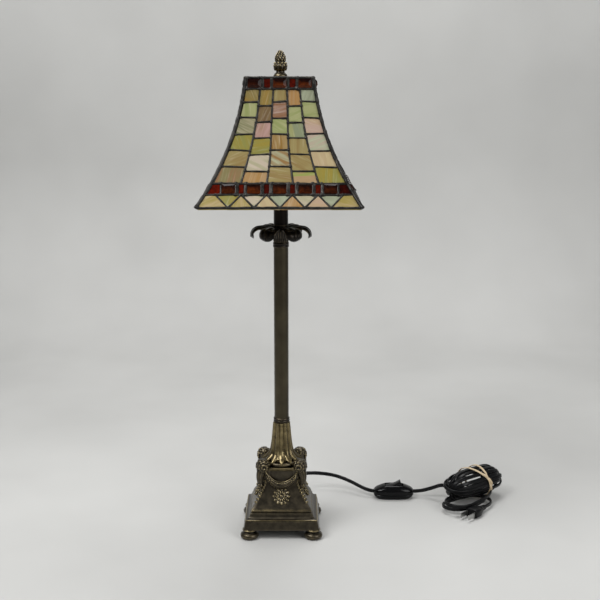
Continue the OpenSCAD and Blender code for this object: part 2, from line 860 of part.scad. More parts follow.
module plug_body() {
    w = plug_wide / 2;
    color(black) at_plug() {
        intersection() {
            linear_extrude(plug_h) polygon([[-plug_l / 2, -w], [2, -w], [plug_l / 2, -5],
                [plug_l / 2, 5], [2, w], [-plug_l / 2, w]]);
            rotate([90, 0, 0]) linear_extrude(plug_wide + 2, center = true)
                polygon([[-plug_l / 2, 0], [-plug_l / 2, plug_h], [4, plug_h], [plug_l / 2, plug_h - 3],
                    [plug_l / 2, 3], [4, 0]]);
        }
        translate([plug_l / 2, 0, plug_h / 2]) rotate([0, 90, 0]) cylinder(r1 = 4.2, r2 = 3, h = 9);
    }
}

module plug_blades() {
    color("silver") at_plug() for (y = [-blade_gap / 2, blade_gap / 2])
        translate([-plug_l / 2 - 16, y - 0.75, plug_h / 2 - 3.2]) cube([16, 1.5, 6.4]);
}

feet();
foot_screws();
base_plate();
plinth();
pedestal();
ram_heads();
garlands();
rosettes();
husk_drops();
saucer();
flute_cup();
lower_collar();
column_tube();
upper_collar();
capital_cup();
leaf_crown();
upper_tube();
threaded_pipe();
pipe_washer();
pipe_nut();
harp_saddle();
harp_ferrules();
harp();
socket_cap();
socket_shell();
socket_liner();
screw_shell();
centre_contact();
inner_lead();
bulb_base();
bulb_glass();
shade_washer();
shade_spider();
came();  // came_front
rotate([0, 0, 90]) came();  // came_right
rotate([0, 0, 180]) came();  // came_back
rotate([0, 0, 270]) came();  // came_left
corner_seams();
rim_wires();
color("#b9a86a") glass_set() field_panes();  // glass_front
color("#b9a86a") rotate([0, 0, 90]) glass_set() field_panes();  // glass_right
color("#b9a86a") rotate([0, 0, 180]) glass_set() field_panes();  // glass_back
color("#b9a86a") rotate([0, 0, 270]) glass_set() field_panes();  // glass_left
color("#d8c890") four_sides() glass_set() skirt_panes();  // skirt_glass
jewels();
color("#6a1a10") four_sides() glass_set() bar_panes();  // red_bars
finial();
strain_relief();
lead_tube();
switch_lower();
switch_upper();
switch_screws();
rocker();
rocker_pin();
tail_tube();
bundle_upper();
bundle_lower();
rubber_band();
plug_body();
plug_blades();
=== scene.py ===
# %% [markdown]
# # A leaded-glass table lamp
#
# The lamp is a buffet lamp: a square flared shade of leaded glass, carried by a slim bronze column on
# an ornate square base. A flat twin lead leaves the back of the base, passes an in-line rocker switch
# and ends in a banded bundle with its plug.
#
# The frame is the working model: every piece there already has its size, its place and its joints.
# The cells below give each piece its real surface, and a new piece takes the place of a plain one.

# %% Open the frame
import math
import random

import bmesh
import bpy
import numpy as np
from bmesh.types import BMEdge, BMFace, BMVert
from mathutils import Matrix, Vector


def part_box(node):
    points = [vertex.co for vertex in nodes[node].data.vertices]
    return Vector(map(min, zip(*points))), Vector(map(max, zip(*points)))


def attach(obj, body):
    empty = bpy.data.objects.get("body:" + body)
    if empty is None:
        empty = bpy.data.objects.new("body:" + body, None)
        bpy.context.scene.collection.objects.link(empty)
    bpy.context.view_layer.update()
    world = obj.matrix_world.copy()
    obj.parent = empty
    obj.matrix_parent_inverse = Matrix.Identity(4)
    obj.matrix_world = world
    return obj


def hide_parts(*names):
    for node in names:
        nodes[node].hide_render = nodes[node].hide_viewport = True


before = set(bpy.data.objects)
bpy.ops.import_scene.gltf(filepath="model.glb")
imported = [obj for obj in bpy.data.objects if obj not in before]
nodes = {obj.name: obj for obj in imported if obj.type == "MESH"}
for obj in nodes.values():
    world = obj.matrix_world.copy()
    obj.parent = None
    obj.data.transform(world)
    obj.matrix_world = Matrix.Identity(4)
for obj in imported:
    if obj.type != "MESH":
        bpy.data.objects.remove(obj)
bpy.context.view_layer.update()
MM = 0.001
UP = Vector((0, 0, 1))


def box_mm(node):
    """The lowest and highest corner of a piece of the frame, in millimetres."""
    low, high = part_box(node)
    return low / MM, high / MM


print("pieces in the frame:", len(nodes))

# %% [markdown]
# ## Camera
#
# The lamp is seen from the front, from just under the height of its finial and looking slightly down,
# with a slightly long lens.

# %% Camera
camera = bpy.data.objects.new("camera", bpy.data.cameras.new("camera"))
camera.data.lens = 66
camera.data.sensor_width = 36
camera.location = Vector((24.7, -1415.8, 604.3)) * MM
camera.rotation_euler = (math.radians(90 - 11.56), 0, 0)
bpy.context.collection.objects.link(camera)
bpy.context.scene.camera = camera
print("camera stands", round(-camera.location.y, 2), "m in front of the column")

# %% [markdown]
# ## Helpers for shapes
#
# Shapes are made in millimetres in a bmesh and are brought to metres when they are finished. Most
# pieces of this lamp come from four workshop moves: turning an outline on a lathe, laying a rod along
# a line, melting several shapes into one casting, and finishing a piece so that it rides on its body.

# %% Turns, moves and parts
def rotation(degrees, axis, size=4):
    """A turn by that many degrees about an axis."""
    return Matrix.Rotation(math.radians(degrees), size, axis)


def moved(bm, way):
    """Moves all of the bmesh."""
    bmesh.ops.translate(bm, vec=way, verts=bm.verts)


def rotated(bm, degrees, axis):
    """Turns all of the bmesh about the origin."""
    bmesh.ops.rotate(bm, matrix=rotation(degrees, axis, 3), verts=bm.verts)


def only(kind, geom):
    """The parts of one kind among what an operator gives back."""
    return [part for part in geom if isinstance(part, kind)]


def faces_at(verts):
    """The faces that meet those vertices."""
    return list({face for vert in verts for face in vert.link_faces})


def arc(middle, reach, start, end, step):
    """Points of an arc in degrees, about a middle, with its own reach across and up."""
    return [(middle[0] + reach[0] * math.cos(math.radians(a)),
             middle[1] + reach[1] * math.sin(math.radians(a))) for a in range(start, end, step)]


# %% Lines, turned shapes and rods
def smooth_line(points, steps):
    """A smooth line through the points: a Catmull-Rom spline with that many steps between two."""
    points = [Vector(p) for p in points]
    line = []
    for i in range(len(points) - 1):
        b = points[i]
        c = points[i + 1]
        a = points[i - 1] if i > 0 else b * 2 - c
        d = points[i + 2] if i + 2 < len(points) else c * 2 - b
        for k in range(steps):
            s = k / steps
            line.append(b + (c - a) * (s / 2) + (a * 2 - b * 5 + c * 4 - d) * (s * s / 2)
                        + (b * 3 - a - c * 3 + d) * (s ** 3 / 2))
    line.append(points[-1])
    return line


def turned(bm, outline, z=0.0, steps=64):
    """Turns an outline of (radius, height) points about the Z axis. It starts and ends at radius 0."""
    verts = [bm.verts.new((max(p[0], 0), 0, z + p[1])) for p in outline]
    edges = [bm.edges.new(pair) for pair in zip(verts, verts[1:])]
    bmesh.ops.spin(bm, geom=verts + edges, cent=(0, 0, 0), axis=(0, 0, 1),
                   angle=math.tau, steps=steps, use_merge=True)
    bmesh.ops.remove_doubles(bm, verts=bm.verts[-len(outline) * steps:], dist=1e-4)


def add_rods(bm, lines, sides=8):
    """Adds round rods along lines of (place, radius) pairs: curves with a round bevel, made a mesh."""
    curve = bpy.data.curves.new("rods", "CURVE")
    curve.dimensions = "3D"
    curve.bevel_depth = 1
    curve.bevel_resolution = sides // 4
    curve.use_fill_caps = True
    for line in lines:
        spline = curve.splines.new("POLY")
        spline.points.add(len(line) - 1)
        for point, (place, radius) in zip(spline.points, line):
            point.co = (*place, 1)
            point.radius = radius
    holder = bpy.data.objects.new("rods", curve)
    mesh = bpy.data.meshes.new_from_object(holder)
    bm.from_mesh(mesh)
    bpy.data.meshes.remove(mesh)
    bpy.data.objects.remove(holder)
    bpy.data.curves.remove(curve)


def add_lump(bm, place, size, turn=Matrix(), rings=12):
    """Adds an egg of those three half sizes, turned and then set at its place."""
    shape = Matrix.Translation(Vector(place)) @ turn @ Matrix.Diagonal((*size, 1))
    bmesh.ops.create_uvsphere(bm, u_segments=2 * rings, v_segments=rings, radius=1, matrix=shape)


def copied_round(bm, turns, about=(0, 0, 0), axis=(0, 0, 1)):
    """Repeats all that the bmesh holds round an axis, that many times in a full turn."""
    if turns > 1:
        bmesh.ops.spin(bm, geom=bm.verts[:] + bm.edges[:] + bm.faces[:], cent=about, axis=axis,
                       angle=math.tau * (turns - 1) / turns, steps=turns - 1, use_duplicate=True)


# %% Melting and finishing
def as_object(name, bm):
    """An object in the scene with the bmesh as its mesh."""
    mesh = bpy.data.meshes.new(name)
    bm.to_mesh(mesh)
    made = bpy.data.objects.new(name, mesh)
    bpy.context.collection.objects.link(made)
    return made


def taken_back(bm, holders):
    """Fills the bmesh with the first holder and its modifiers' work, and removes the holders."""
    bpy.context.view_layer.update()
    result = bpy.data.meshes.new_from_object(
        holders[0].evaluated_get(bpy.context.evaluated_depsgraph_get()))
    bm.clear()
    bm.from_mesh(result)
    bpy.data.meshes.remove(result)
    for holder in holders:
        mesh = holder.data
        bpy.data.objects.remove(holder)
        bpy.data.meshes.remove(mesh)


def melted(bm, voxel, soften=2):
    """Melts overlapping shapes into one skin, as wax or solder does, and smooths it a little."""
    holder = as_object("melted", bm)
    remesh = holder.modifiers.new("Remesh", "REMESH")
    remesh.mode = "VOXEL"
    remesh.voxel_size = voxel
    ease = holder.modifiers.new("Smooth", "SMOOTH")
    ease.factor = 0.5
    ease.iterations = soften
    taken_back(bm, [holder])


def mark_rubbing_and_shade(mesh, strength, reach=1.4, blur=2):
    """Stores how far each point stands out, read as rubbed edges with a painted highlight and as creases
    with painted shade: to 1 on an outer edge, to 0 in a crease, 0.5 where flat.
    """
    count = len(mesh.vertices)
    place = np.empty(count * 3)
    mesh.vertices.foreach_get("co", place)
    place = place.reshape(-1, 3) / MM
    normal = np.empty(count * 3)
    mesh.vertex_normals.foreach_get("vector", normal)
    normal = normal.reshape(-1, 3)
    ends = np.empty(len(mesh.edges) * 2, np.int64)
    mesh.edges.foreach_get("vertices", ends)
    a, b = ends.reshape(-1, 2).T
    step = place[b] - place[a]
    long = np.maximum((step * step).sum(1), 1e-6)
    ways = np.maximum(np.bincount(a, minlength=count) + np.bincount(b, minlength=count), 1)
    bend = np.bincount(a, -(normal[a] * step).sum(1) / long, count)
    bend += np.bincount(b, (normal[b] * step).sum(1) / long, count)
    bend /= ways
    for _ in range(blur):
        around = (np.bincount(a, bend[b], count) + np.bincount(b, bend[a], count)) / ways
        bend = (bend + around) / 2
    # Rubbed edges and painted shade: the ramps paint outer edges lighter as rubbed brass and a painted
    # highlight, creases darker as patina and painted shade.
    rubbed_and_shaded = mesh.attributes.new("rubbed_and_shaded", "FLOAT", "POINT")
    rubbed_and_shaded.data.foreach_set("value", (0.5 + 0.5 * strength * np.tanh(bend * reach)).astype(np.float32))


def finish_piece(name, bm, material, body="root", stands_for=(), sharp=40, rubbing_and_shade=0):
    """Makes the bmesh a piece in metres, with its finish, riding on its body."""
    bmesh.ops.scale(bm, vec=(MM, MM, MM), verts=bm.verts)
    bmesh.ops.recalc_face_normals(bm, faces=bm.faces)
    piece = as_object(name, bm)
    mesh = piece.data
    bm.free()
    mesh.polygons.foreach_set("use_smooth", [True] * len(mesh.polygons))
    mesh.set_sharp_from_angle(angle=math.radians(sharp))
    # Strength of the rubbed edges with painted highlight and of the creases with painted shade.
    if rubbing_and_shade:
        mark_rubbing_and_shade(mesh, rubbing_and_shade)
    mesh.materials.clear()
    mesh.materials.append(material)
    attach(piece, body)
    if stands_for:
        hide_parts(*stands_for)
    print(f"{name}: {len(mesh.polygons)} faces")
    return piece


# %% [markdown]
# ## Helpers for finishes
#
# Every finish is a small tree of nodes. One function adds a node, sets it and links it, so that a
# finish reads from its pattern down to its surface. Colours are written as they look on a screen.

# %% Colours and nodes
def colour(code):
    """A colour written as sRGB hex, turned into the linear light that a shader works in."""
    parts = [int(code[i:i + 2], 16) / 255 for i in (1, 3, 5)]
    return (*[c / 12.92 if c <= 0.04045 else ((c + 0.055) / 1.055) ** 2.4 for c in parts], 1)


def new_material(name):
    """An empty material with its output node."""
    material = bpy.data.materials.new(name)
    material.use_nodes = True
    material.node_tree.nodes.clear()
    material.node_tree.nodes.new("ShaderNodeOutputMaterial")
    return material


def add(material, kind, inputs=(), stops=(), **settings):
    """Adds a node. inputs gives each socket a value or another node's socket; stops fill a ramp."""
    tree = material.node_tree
    node = tree.nodes.new("ShaderNode" + kind)
    for name, value in settings.items():
        setattr(node, name, value)
    for name, value in dict(inputs).items():
        if isinstance(value, bpy.types.NodeSocket):
            tree.links.new(value, node.inputs[name])
        else:
            node.inputs[name].default_value = value
    for i, (position, code) in enumerate(stops):
        if i > 1:
            node.color_ramp.elements.new(position)
        node.color_ramp.elements[i].position = position
        node.color_ramp.elements[i].color = colour(code)
    if kind.startswith("Bsdf"):
        tree.links.new(node.outputs[0], tree.nodes["Material Output"].inputs["Surface"])
    return node

# %% [markdown]
# ## Antique bronze
#
# The base, cup, capital and finial are zinc castings plated with antique bronze: a dark brown skin
# that is rubbed back to brass on every edge and stays nearly black in the hollows. Part of this is
# painted light: the edges are made lighter as rubbed brass and also as a painted highlight, and the
# hollows darker as patina and also as painted shade. How far each point stands out is stored on it
# from the piece's own shape, and a ramp turns that into colour. Soft clouds a few millimetres across
# break the skin up, as hand rubbing does.

# %% Bronze finishes
def aged_bronze(name, tones, roughness, cloud_mm=7.0):
    """Cast and antiqued bronze plating: hollows dark as patina and painted shade, brown flats, brass on
    the edges as rubbing and painted highlight.
    """
    m = new_material(name)
    place = add(m, "TexCoord").outputs["Object"]
    # The stored value lightens edges as rubbed brass and as a painted highlight, and darkens creases as
    # patina and as painted shade.
    rubbed_and_shaded = add(m, "Attribute", attribute_name="rubbed_and_shaded").outputs["Fac"]
    cloud = add(m, "TexNoise", {"Vector": place, "Scale": 1 / (cloud_mm * MM), "Detail": 5,
                                "Roughness": 0.6}).outputs[0]
    patch = add(m, "MapRange", {"Value": cloud, "From Min": 0.3, "From Max": 0.7,
                                "To Min": -0.07, "To Max": 0.05}).outputs[0]
    level = add(m, "Math", {0: rubbed_and_shaded, 1: patch}, operation="ADD").outputs[0]
    tone = add(m, "ValToRGB", {"Fac": level}, stops=tones).outputs[0]
    rough = add(m, "MapRange", {"Value": cloud, "From Min": 0.3, "From Max": 0.7,
                                "To Min": roughness - 0.06, "To Max": roughness + 0.08}).outputs[0]
    grain = add(m, "TexNoise", {"Vector": place, "Scale": 1 / (0.9 * MM), "Detail": 3}).outputs[0]
    bump = add(m, "Bump", {"Height": grain, "Strength": 0.18, "Distance": 0.1 * MM}).outputs[0]
    add(m, "BsdfPrincipled", {"Base Color": tone, "Metallic": 0.9, "Roughness": rough,
                              "Coat Weight": 0.2, "Coat Roughness": 0.25, "Normal": bump})
    return m


antique_bronze = aged_bronze(
    "antique bronze plated casting",
    ((0.30, "#0a0907"), (0.44, "#322d24"), (0.55, "#4b4436"), (0.68, "#7d7051"), (0.86, "#b3a47a")),
    roughness=0.34)
# A brighter copy for the fluted cup: more brass rubbed through, and brighter also as a painted highlight
# on its flutes.
highlit_rubbed_bronze = aged_bronze(
    "rubbed antique bronze casting",
    ((0.28, "#070604"), (0.42, "#3a3222"), (0.52, "#665a3e"), (0.64, "#978860"), (0.85, "#cdbf92")),
    roughness=0.3)
dark_bronze = aged_bronze(
    "dark oil-rubbed bronze casting",
    ((0.28, "#040303"), (0.48, "#15110c"), (0.58, "#2b241b"), (0.74, "#6a5f4a"), (0.9, "#94876c")),
    roughness=0.34)


def grained(name, tones, grain, gloss, bump, surface, cloud=None):
    """A skin with a fine grain that sets its gloss and bump, and a tone that follows wider clouds.

    grain is (size along X, Y and Z in mm, detail) and cloud is (size in mm, detail). Without a cloud
    the tone follows the grain. gloss is the roughness at its two ends, bump is (strength, depth in mm).
    """
    m = new_material(name)
    place = add(m, "TexCoord").outputs["Object"]
    scale = [1 / (size * MM) for size in grain[0]]
    laid = add(m, "Mapping", {"Vector": place, "Scale": scale}).outputs[0]
    fine = add(m, "TexNoise", {"Vector": laid, "Scale": 1, "Detail": grain[1]}).outputs[0]
    wide = fine
    if cloud:
        wide = add(m, "TexNoise", {"Vector": place, "Scale": 1 / (cloud[0] * MM),
                                   "Detail": cloud[1]}).outputs[0]
    tone = add(m, "ValToRGB", {"Fac": wide}, stops=tones).outputs[0]
    rough = add(m, "MapRange", {"Value": fine, "To Min": gloss[0], "To Max": gloss[1]}).outputs[0]
    lift = add(m, "Bump", {"Height": fine, "Strength": bump[0], "Distance": bump[1] * MM}).outputs[0]
    add(m, "BsdfPrincipled", {"Base Color": tone, "Roughness": rough, "Normal": lift, **surface})
    return m


def drawn_tube(name, code, clear):
    """Drawn tube, plated: fine lines along its length spread the light into a soft upright streak."""
    return grained(name, ((0.35, code), (0.7, clear)), ((0.6, 0.6, 83.3), 2), (0.22, 0.4), (0.12, 0.05),
                   {"Metallic": 0.9, "Coat Weight": 0.15, "Coat Roughness": 0.3}, cloud=(24, 4))


satin_tube = drawn_tube("satin bronze plated tube", "#3c3628", "#4b4434")
dark_tube = drawn_tube("dark bronze plated tube", "#120b07", "#1d140d")

# %% [markdown]
# ## Glass, solder and plain metals
#
# Opalescent art glass is rolled in streaked sheets: two or three melts run through each other in
# long soft bands. Each piece of the shade is cut from some sheet at some angle, so the streaks follow
# the piece's own UV map, and its two melts are stored on its points. The solder is blackened with
# patina. The jewels are pressed garnet glass, dark, with a painted warm glow of the light from behind
# on their lower facets.

# %% Glass and solder
def streaked_glass():
    """Rolled opalescent glass: milky, streaked along the sheet, with a fire-polished skin."""
    m = new_material("opalescent art glass")
    sheet = add(m, "UVMap", uv_map="sheet").outputs[0]
    long_way = add(m, "Mapping", {"Vector": sheet, "Scale": (1 / (7 * MM), 1 / (55 * MM), 1)})
    wide = add(m, "TexNoise", {"Vector": long_way.outputs[0], "Scale": 1, "Detail": 2,
                               "Distortion": 0.6}).outputs[0]
    fine_way = add(m, "Mapping", {"Vector": sheet, "Scale": (1 / (2.2 * MM), 1 / (30 * MM), 1)})
    fine = add(m, "TexNoise", {"Vector": fine_way.outputs[0], "Scale": 1, "Detail": 3,
                               "Distortion": 0.4}).outputs[0]
    first = add(m, "Attribute", attribute_name="melt").outputs["Color"]
    second = add(m, "Attribute", attribute_name="streak").outputs["Color"]
    share = add(m, "MapRange", {"Value": wide, "From Min": 0.38, "From Max": 0.64, "To Max": 0.85},
                interpolation_type="SMOOTHSTEP").outputs[0]
    both = add(m, "Mix", {0: share, 6: first, 7: second}, data_type="RGBA").outputs[2]
    wisp = add(m, "MapRange", {"Value": fine, "From Min": 0.55, "From Max": 0.75, "To Max": 0.16})
    milky = add(m, "Mix", {0: wisp.outputs[0], 6: both, 7: colour("#e4dcc6")}, data_type="RGBA")
    ripple = add(m, "TexNoise", {"Vector": sheet, "Scale": 1 / (6 * MM), "Detail": 1}).outputs[0]
    bump = add(m, "Bump", {"Height": ripple, "Strength": 0.25, "Distance": 0.3 * MM}).outputs[0]
    add(m, "BsdfPrincipled", {"Base Color": milky.outputs[2], "Roughness": 0.2, "IOR": 1.52,
                              "Specular IOR Level": 0.4, "Normal": bump})
    return m


def pressed_glass(name, deep, thin, roughness):
    """Pressed clear-coloured glass, dark, made warmer where its stored value is high: a painted glow of
    light from behind on the jewels' lower facets, and each bar's own tone.
    """
    m = new_material(name)
    # The stored value: a painted glow of light from behind on the jewels' lower facets, and each bar's
    # own tone.
    backlight_glow_and_tone = add(m, "Attribute", attribute_name="backlight_glow_and_tone").outputs["Fac"]
    place = add(m, "TexCoord").outputs["Object"]
    cord = add(m, "TexNoise", {"Vector": place, "Scale": 1 / (4 * MM), "Detail": 2}).outputs[0]
    level = add(m, "Math", {0: backlight_glow_and_tone, 1: cord}, operation="MULTIPLY").outputs[0]
    tone = add(m, "ValToRGB", {"Fac": level}, stops=((0.05, deep), (0.5, thin))).outputs[0]
    add(m, "BsdfPrincipled", {"Base Color": tone, "Roughness": roughness, "IOR": 1.5,
                              "Specular IOR Level": 0.12})
    return m


def patinated_solder():
    """Tin-lead solder blackened with patina: a dull grey-black skin over soft hand-run beads."""
    m = new_material("black patina solder")
    place = add(m, "TexCoord").outputs["Object"]
    cloud = add(m, "TexNoise", {"Vector": place, "Scale": 1 / (8 * MM), "Detail": 6,
                                "Roughness": 0.65}).outputs[0]
    tone = add(m, "ValToRGB", {"Fac": cloud},
               stops=((0.35, "#12110f"), (0.55, "#282623"), (0.75, "#48443d"))).outputs[0]
    rough = add(m, "MapRange", {"Value": cloud, "To Min": 0.25, "To Max": 0.6}).outputs[0]
    bump = add(m, "Bump", {"Height": cloud, "Strength": 0.3, "Distance": 0.4 * MM}).outputs[0]
    add(m, "BsdfPrincipled", {"Base Color": tone, "Metallic": 0.55, "Roughness": rough,
                              "Normal": bump})
    return m


opal_glass = streaked_glass()
# The warm stop is the painted glow of light from behind.
jewel_glass = pressed_glass("pressed garnet glass", "#0e0202", "#52230a", 0.1)
red_glass = pressed_glass("deep red cathedral glass", "#1a0302", "#621505", 0.1)
solder = patinated_solder()

# %% [markdown]
# ## Lead, rubber and the pieces inside
#
# The lead is black PVC with a soft shine, the switch is harder and glossier, and the band round the
# bundle is natural rubber. Inside the shade there are plain brass, zinc-plated steel, dark phenolic
# and a frosted bulb.

# %% Plastics, rubber and plain metals
def moulded(name, code, light_code, roughness, grain_mm, depth_mm):
    """A moulded skin, such as vinyl, nylon or phenolic: even colour, faint grain, soft gloss."""
    return grained(name, ((0.3, code), (0.75, light_code)), ((grain_mm,) * 3, 3),
                   (roughness - 0.05, roughness + 0.08), (0.2, depth_mm), {"Specular IOR Level": 0.2})


def bright_metal(name, code, light_code, roughness):
    """Machined or plated metal with fine turning lines and a few dull patches."""
    return grained(name, ((0.3, code), (0.7, light_code)), ((33.3, 33.3, 0.5), 2),
                   (roughness - 0.08, roughness + 0.12), (0.1, 0.05), {"Metallic": 1.0}, cloud=(12, 4))


cord_vinyl = moulded("black vinyl lead", "#050506", "#0d0e10", 0.3, 1.2, 0.05)
switch_black = moulded("black moulded nylon", "#030304", "#0a0a0c", 0.16, 2.5, 0.04)
phenolic = moulded("dark moulded phenolic", "#1c130e", "#2c2018", 0.35, 3, 0.05)
natural_rubber = moulded("natural rubber band", "#b59f7e", "#dccbae", 0.55, 0.7, 0.12)
brass = bright_metal("plain lamp brass", "#a9863f", "#c9a65c", 0.3)
steel = bright_metal("zinc plated steel", "#9a9a98", "#bdbdbb", 0.32)
# Acid-frosted bulb glass: white inside, even and softly shining
bulb_glass = grained("frosted bulb glass", ((0.3, "#dcdad2"), (0.7, "#efeee8")), ((0.8,) * 3, 2),
                     (0.3, 0.3), (0.08, 0.05),
                     {"Transmission Weight": 0.3, "Subsurface Weight": 0.2,
                      "Subsurface Radius": (0.004, 0.004, 0.004)})

# %% [markdown]
# The pieces of the frame that already have their right shape, such as the tubes, the harp and the
# socket, stay as they are and only get their finish.

# %% Finish the pieces of the frame
finish_of = {
    satin_tube: ["column_tube"],
    dark_tube: ["upper_tube"],
    brass: ["threaded_pipe", "pipe_nut", "harp_saddle", "harp_ferrules", "harp", "socket_cap",
            "socket_shell", "screw_shell", "centre_contact", "shade_spider"],
    steel: ["foot_screws", "base_plate", "pipe_washer", "bulb_base", "shade_washer",
            "switch_screws", "rocker_pin", "plug_blades"],
    phenolic: ["socket_liner"],
    bulb_glass: ["bulb_glass"],
    cord_vinyl: ["inner_lead"],
}
for finish, names in finish_of.items():
    for name in names:
        nodes[name].data.materials.clear()
        nodes[name].data.materials.append(finish)
print("pieces of the frame with a finish:", sum(len(names) for names in finish_of.values()))

# %% [markdown]
# ## Switch, rocker, plug and strain relief
#
# These are moulded pieces with soft edges. Each shell could be a bevelled box, but its ends round in
# plan and its top is domed, so a rounded ring is drawn up through the heights of the shell instead.
# The plug is drawn the same way along its length, with grip ribs, and the strain relief comes off a
# lathe. The rocker is one side outline, extruded and bevelled. Slots and notches are cut with simple
# boxes.

# %% Rings and cuts
def drawn_up(bm, stations, around, place):
    """Draws a ring up through the stations and closes both ends.

    place makes a point from the cosine and sine of its angle and from what the station holds.
    """
    verts = bmesh.ops.create_circle(bm, segments=around, radius=1)["verts"]
    angles = {vert: math.atan2(vert.co.y, vert.co.x) for vert in verts}
    edges = list({edge for vert in verts for edge in vert.link_edges})
    ends = list(edges)
    for k, station in enumerate(stations):
        if k:
            old = {vert.co.copy().freeze(): angles[vert] for vert in verts}
            drawn = bmesh.ops.extrude_edge_only(bm, edges=edges)["geom"]
            verts = only(BMVert, drawn)
            edges = only(BMEdge, drawn)
            angles = {vert: old[vert.co.copy().freeze()] for vert in verts}
        for vert in verts:
            vert.co = place(math.cos(angles[vert]), math.sin(angles[vert]), *station)
    bmesh.ops.holes_fill(bm, edges=ends + edges, sides=around)


def drawn_rings(bm, rings, around=72, power=3.0):
    """Draws a rounded ring up through (height, half length, half width) steps and caps both ends."""
    def place(c, s, height, long, wide):
        return (long * math.copysign(abs(c) ** (2 / power), c),
                wide * math.copysign(abs(s) ** (2 / power), s), height)

    drawn_up(bm, rings, around, place)


def carved(bm, *cutters):
    """Cuts shapes out of the bmesh; each cutter is a function that fills a bmesh with its shape."""
    holders = []
    for fill in (None, *cutters):
        part = bmesh.new() if fill else bm
        if fill:
            fill(part)
        bmesh.ops.recalc_face_normals(part, faces=part.faces)
        holders.append(as_object("cut", part))
    for cutter in holders[1:]:
        cut = holders[0].modifiers.new("Cut", "BOOLEAN")
        cut.object = cutter
        cut.solver = "EXACT"
    taken_back(bm, holders)


def block(low, high):
    """A filler for carved: a box between two corners."""
    low, high = Vector(low), Vector(high)
    shape = Matrix.Translation((low + high) / 2) @ Matrix.Diagonal((*(high - low), 1))
    return lambda bm: bmesh.ops.create_cube(bm, size=1, matrix=shape)


def rod(place, radius, long, turn=Matrix()):
    """A filler for carved: a round rod about a place."""
    shape = Matrix.Translation(place) @ turn
    return lambda bm: bmesh.ops.create_cone(bm, cap_ends=True, segments=24, radius1=radius,
                                            radius2=radius, depth=long, matrix=shape)


# %% Switch shells and rocker
SWITCH = Vector((161, 101, 0))
ROCKER_PIVOT = 13    # height of the rocker's pin

bm = bmesh.new()
drawn_rings(bm, [(0, 22.5, 9.8), (0.5, 23.6, 10.9), (1.6, 25.2, 11.9), (3.4, 27.2, 12.8),
                 (5.4, 28.5, 13.3), (6.4, 28.9, 13.5), (6.8, 28.6, 13.2), (6.9, 28.2, 12.8)])
carved(bm, *[block((x - 2, -16, 2.2), (x + 2, -11.6, 4.8)) for x in (-16, 0, 16)],
       *[rod((x, 0, 0), 1.7, 4.2) for x in (-20, 20)])
moved(bm, SWITCH)
shell_low = finish_piece("switch_shell_low", bm, switch_black, sharp=35,
                         stands_for=["switch_lower"])
bm = bmesh.new()
drawn_rings(bm, [(7.0, 28.2, 12.8), (7.1, 28.6, 13.2), (7.5, 28.9, 13.5), (10.5, 28.9, 13.5),
                 (12.6, 28.5, 13.3), (14.2, 27, 12.8), (15.6, 24.8, 12), (17.2, 21.4, 10.9),
                 (18.6, 18.2, 9.7), (19.5, 16, 8.6), (19.9, 14.8, 7.8), (20, 14.2, 7.2)])
carved(bm, block((-12.5, -5.9, 8), (14, 5.9, 30)))
moved(bm, SWITCH)
shell_high = finish_piece("switch_shell_high", bm, switch_black, sharp=35,
                          stands_for=["switch_upper"])
bm = bmesh.new()
outline = [bm.verts.new((x, 5.4, z)) for x, z in (
    (-11.2, 3.4), (-11.4, 6.1), (-10.4, 6.5), (-6, 6.7), (-1, 7.6), (4, 9.6), (8.9, 12.6),
    (9.6, 12.7), (11.5, 7.6), (11, 4), (3, -3), (-3, -3))]
cheek = bm.faces.new(outline)
raised = bmesh.ops.extrude_face_region(bm, geom=[cheek])["geom"]
bmesh.ops.translate(bm, vec=(0, -10.8, 0), verts=only(BMVert, raised))
bmesh.ops.bevel(bm, geom=bm.edges[:], offset=0.35, affect="EDGES", segments=2, profile=0.5,
                material=-1)
carved(bm, rod((0, 0, 0), 1.5, 14, rotation(90, "X")))
moved(bm, SWITCH + UP * ROCKER_PIVOT)
rocker = finish_piece("rocker_button", bm, switch_black, "rocker", ["rocker"],
                      sharp=35)

# %% Plug body and strain relief
PLUG_TURN = 47
PLUG = Vector((271, 33, 6.5))
plug_way = Vector((math.cos(math.radians(PLUG_TURN)), math.sin(math.radians(PLUG_TURN)), 0))
bm = bmesh.new()
ribs = []
for k, x in enumerate(np.arange(2.6, 9.2, 0.9)):
    ribs.append((x, 8.6 - 0.5 * (x - 2.5) - (0.35 if k % 2 else 0),
                 6.0 - 0.2 * (x - 2.5) - (0.3 if k % 2 else 0)))
drawn_rings(bm, [(-12, 8.6, 5.6), (-11.7, 9.2, 6.2), (-11, 9.5, 6.45), (-4, 9.5, 6.45),
                 (1, 9.3, 6.4)] + ribs + [(10, 4.6, 4.3), (11.6, 4.2, 4), (12.2, 3.6, 3.6),
                                          (16, 3.3, 3.3), (21, 3, 3)], 64, 4)
for degrees, axis in ((90, "Y"), (90, "X"), (PLUG_TURN, "Z")):
    rotated(bm, degrees, axis)
moved(bm, PLUG)
plug = finish_piece("plug_moulded", bm, cord_vinyl, sharp=35, stands_for=["plug_body"])

LEAD_EXIT = 29       # height at which the lead leaves the base
bm = bmesh.new()
boot = [(0, 43), (3.8, 43), (3.8, 51), (4.7, 51.2), (4.7, 52.8), (4.1, 53.2)]
for k in range(5):
    boot += [(4.1 - 0.2 * k, 54 + 2.9 * k), (4.1 - 0.2 * k, 55.4 + 2.9 * k),
             (3.1 - 0.1 * k, 55.7 + 2.9 * k), (3.1 - 0.1 * k, 56.7 + 2.9 * k)]
turned(bm, boot + [(3.0, 69), (0, 69)], 0, 40)
rotated(bm, -90, "X")
moved(bm, UP * LEAD_EXIT)
boot = finish_piece("strain_relief_boot", bm, cord_vinyl, sharp=35,
                    stands_for=["strain_relief"])

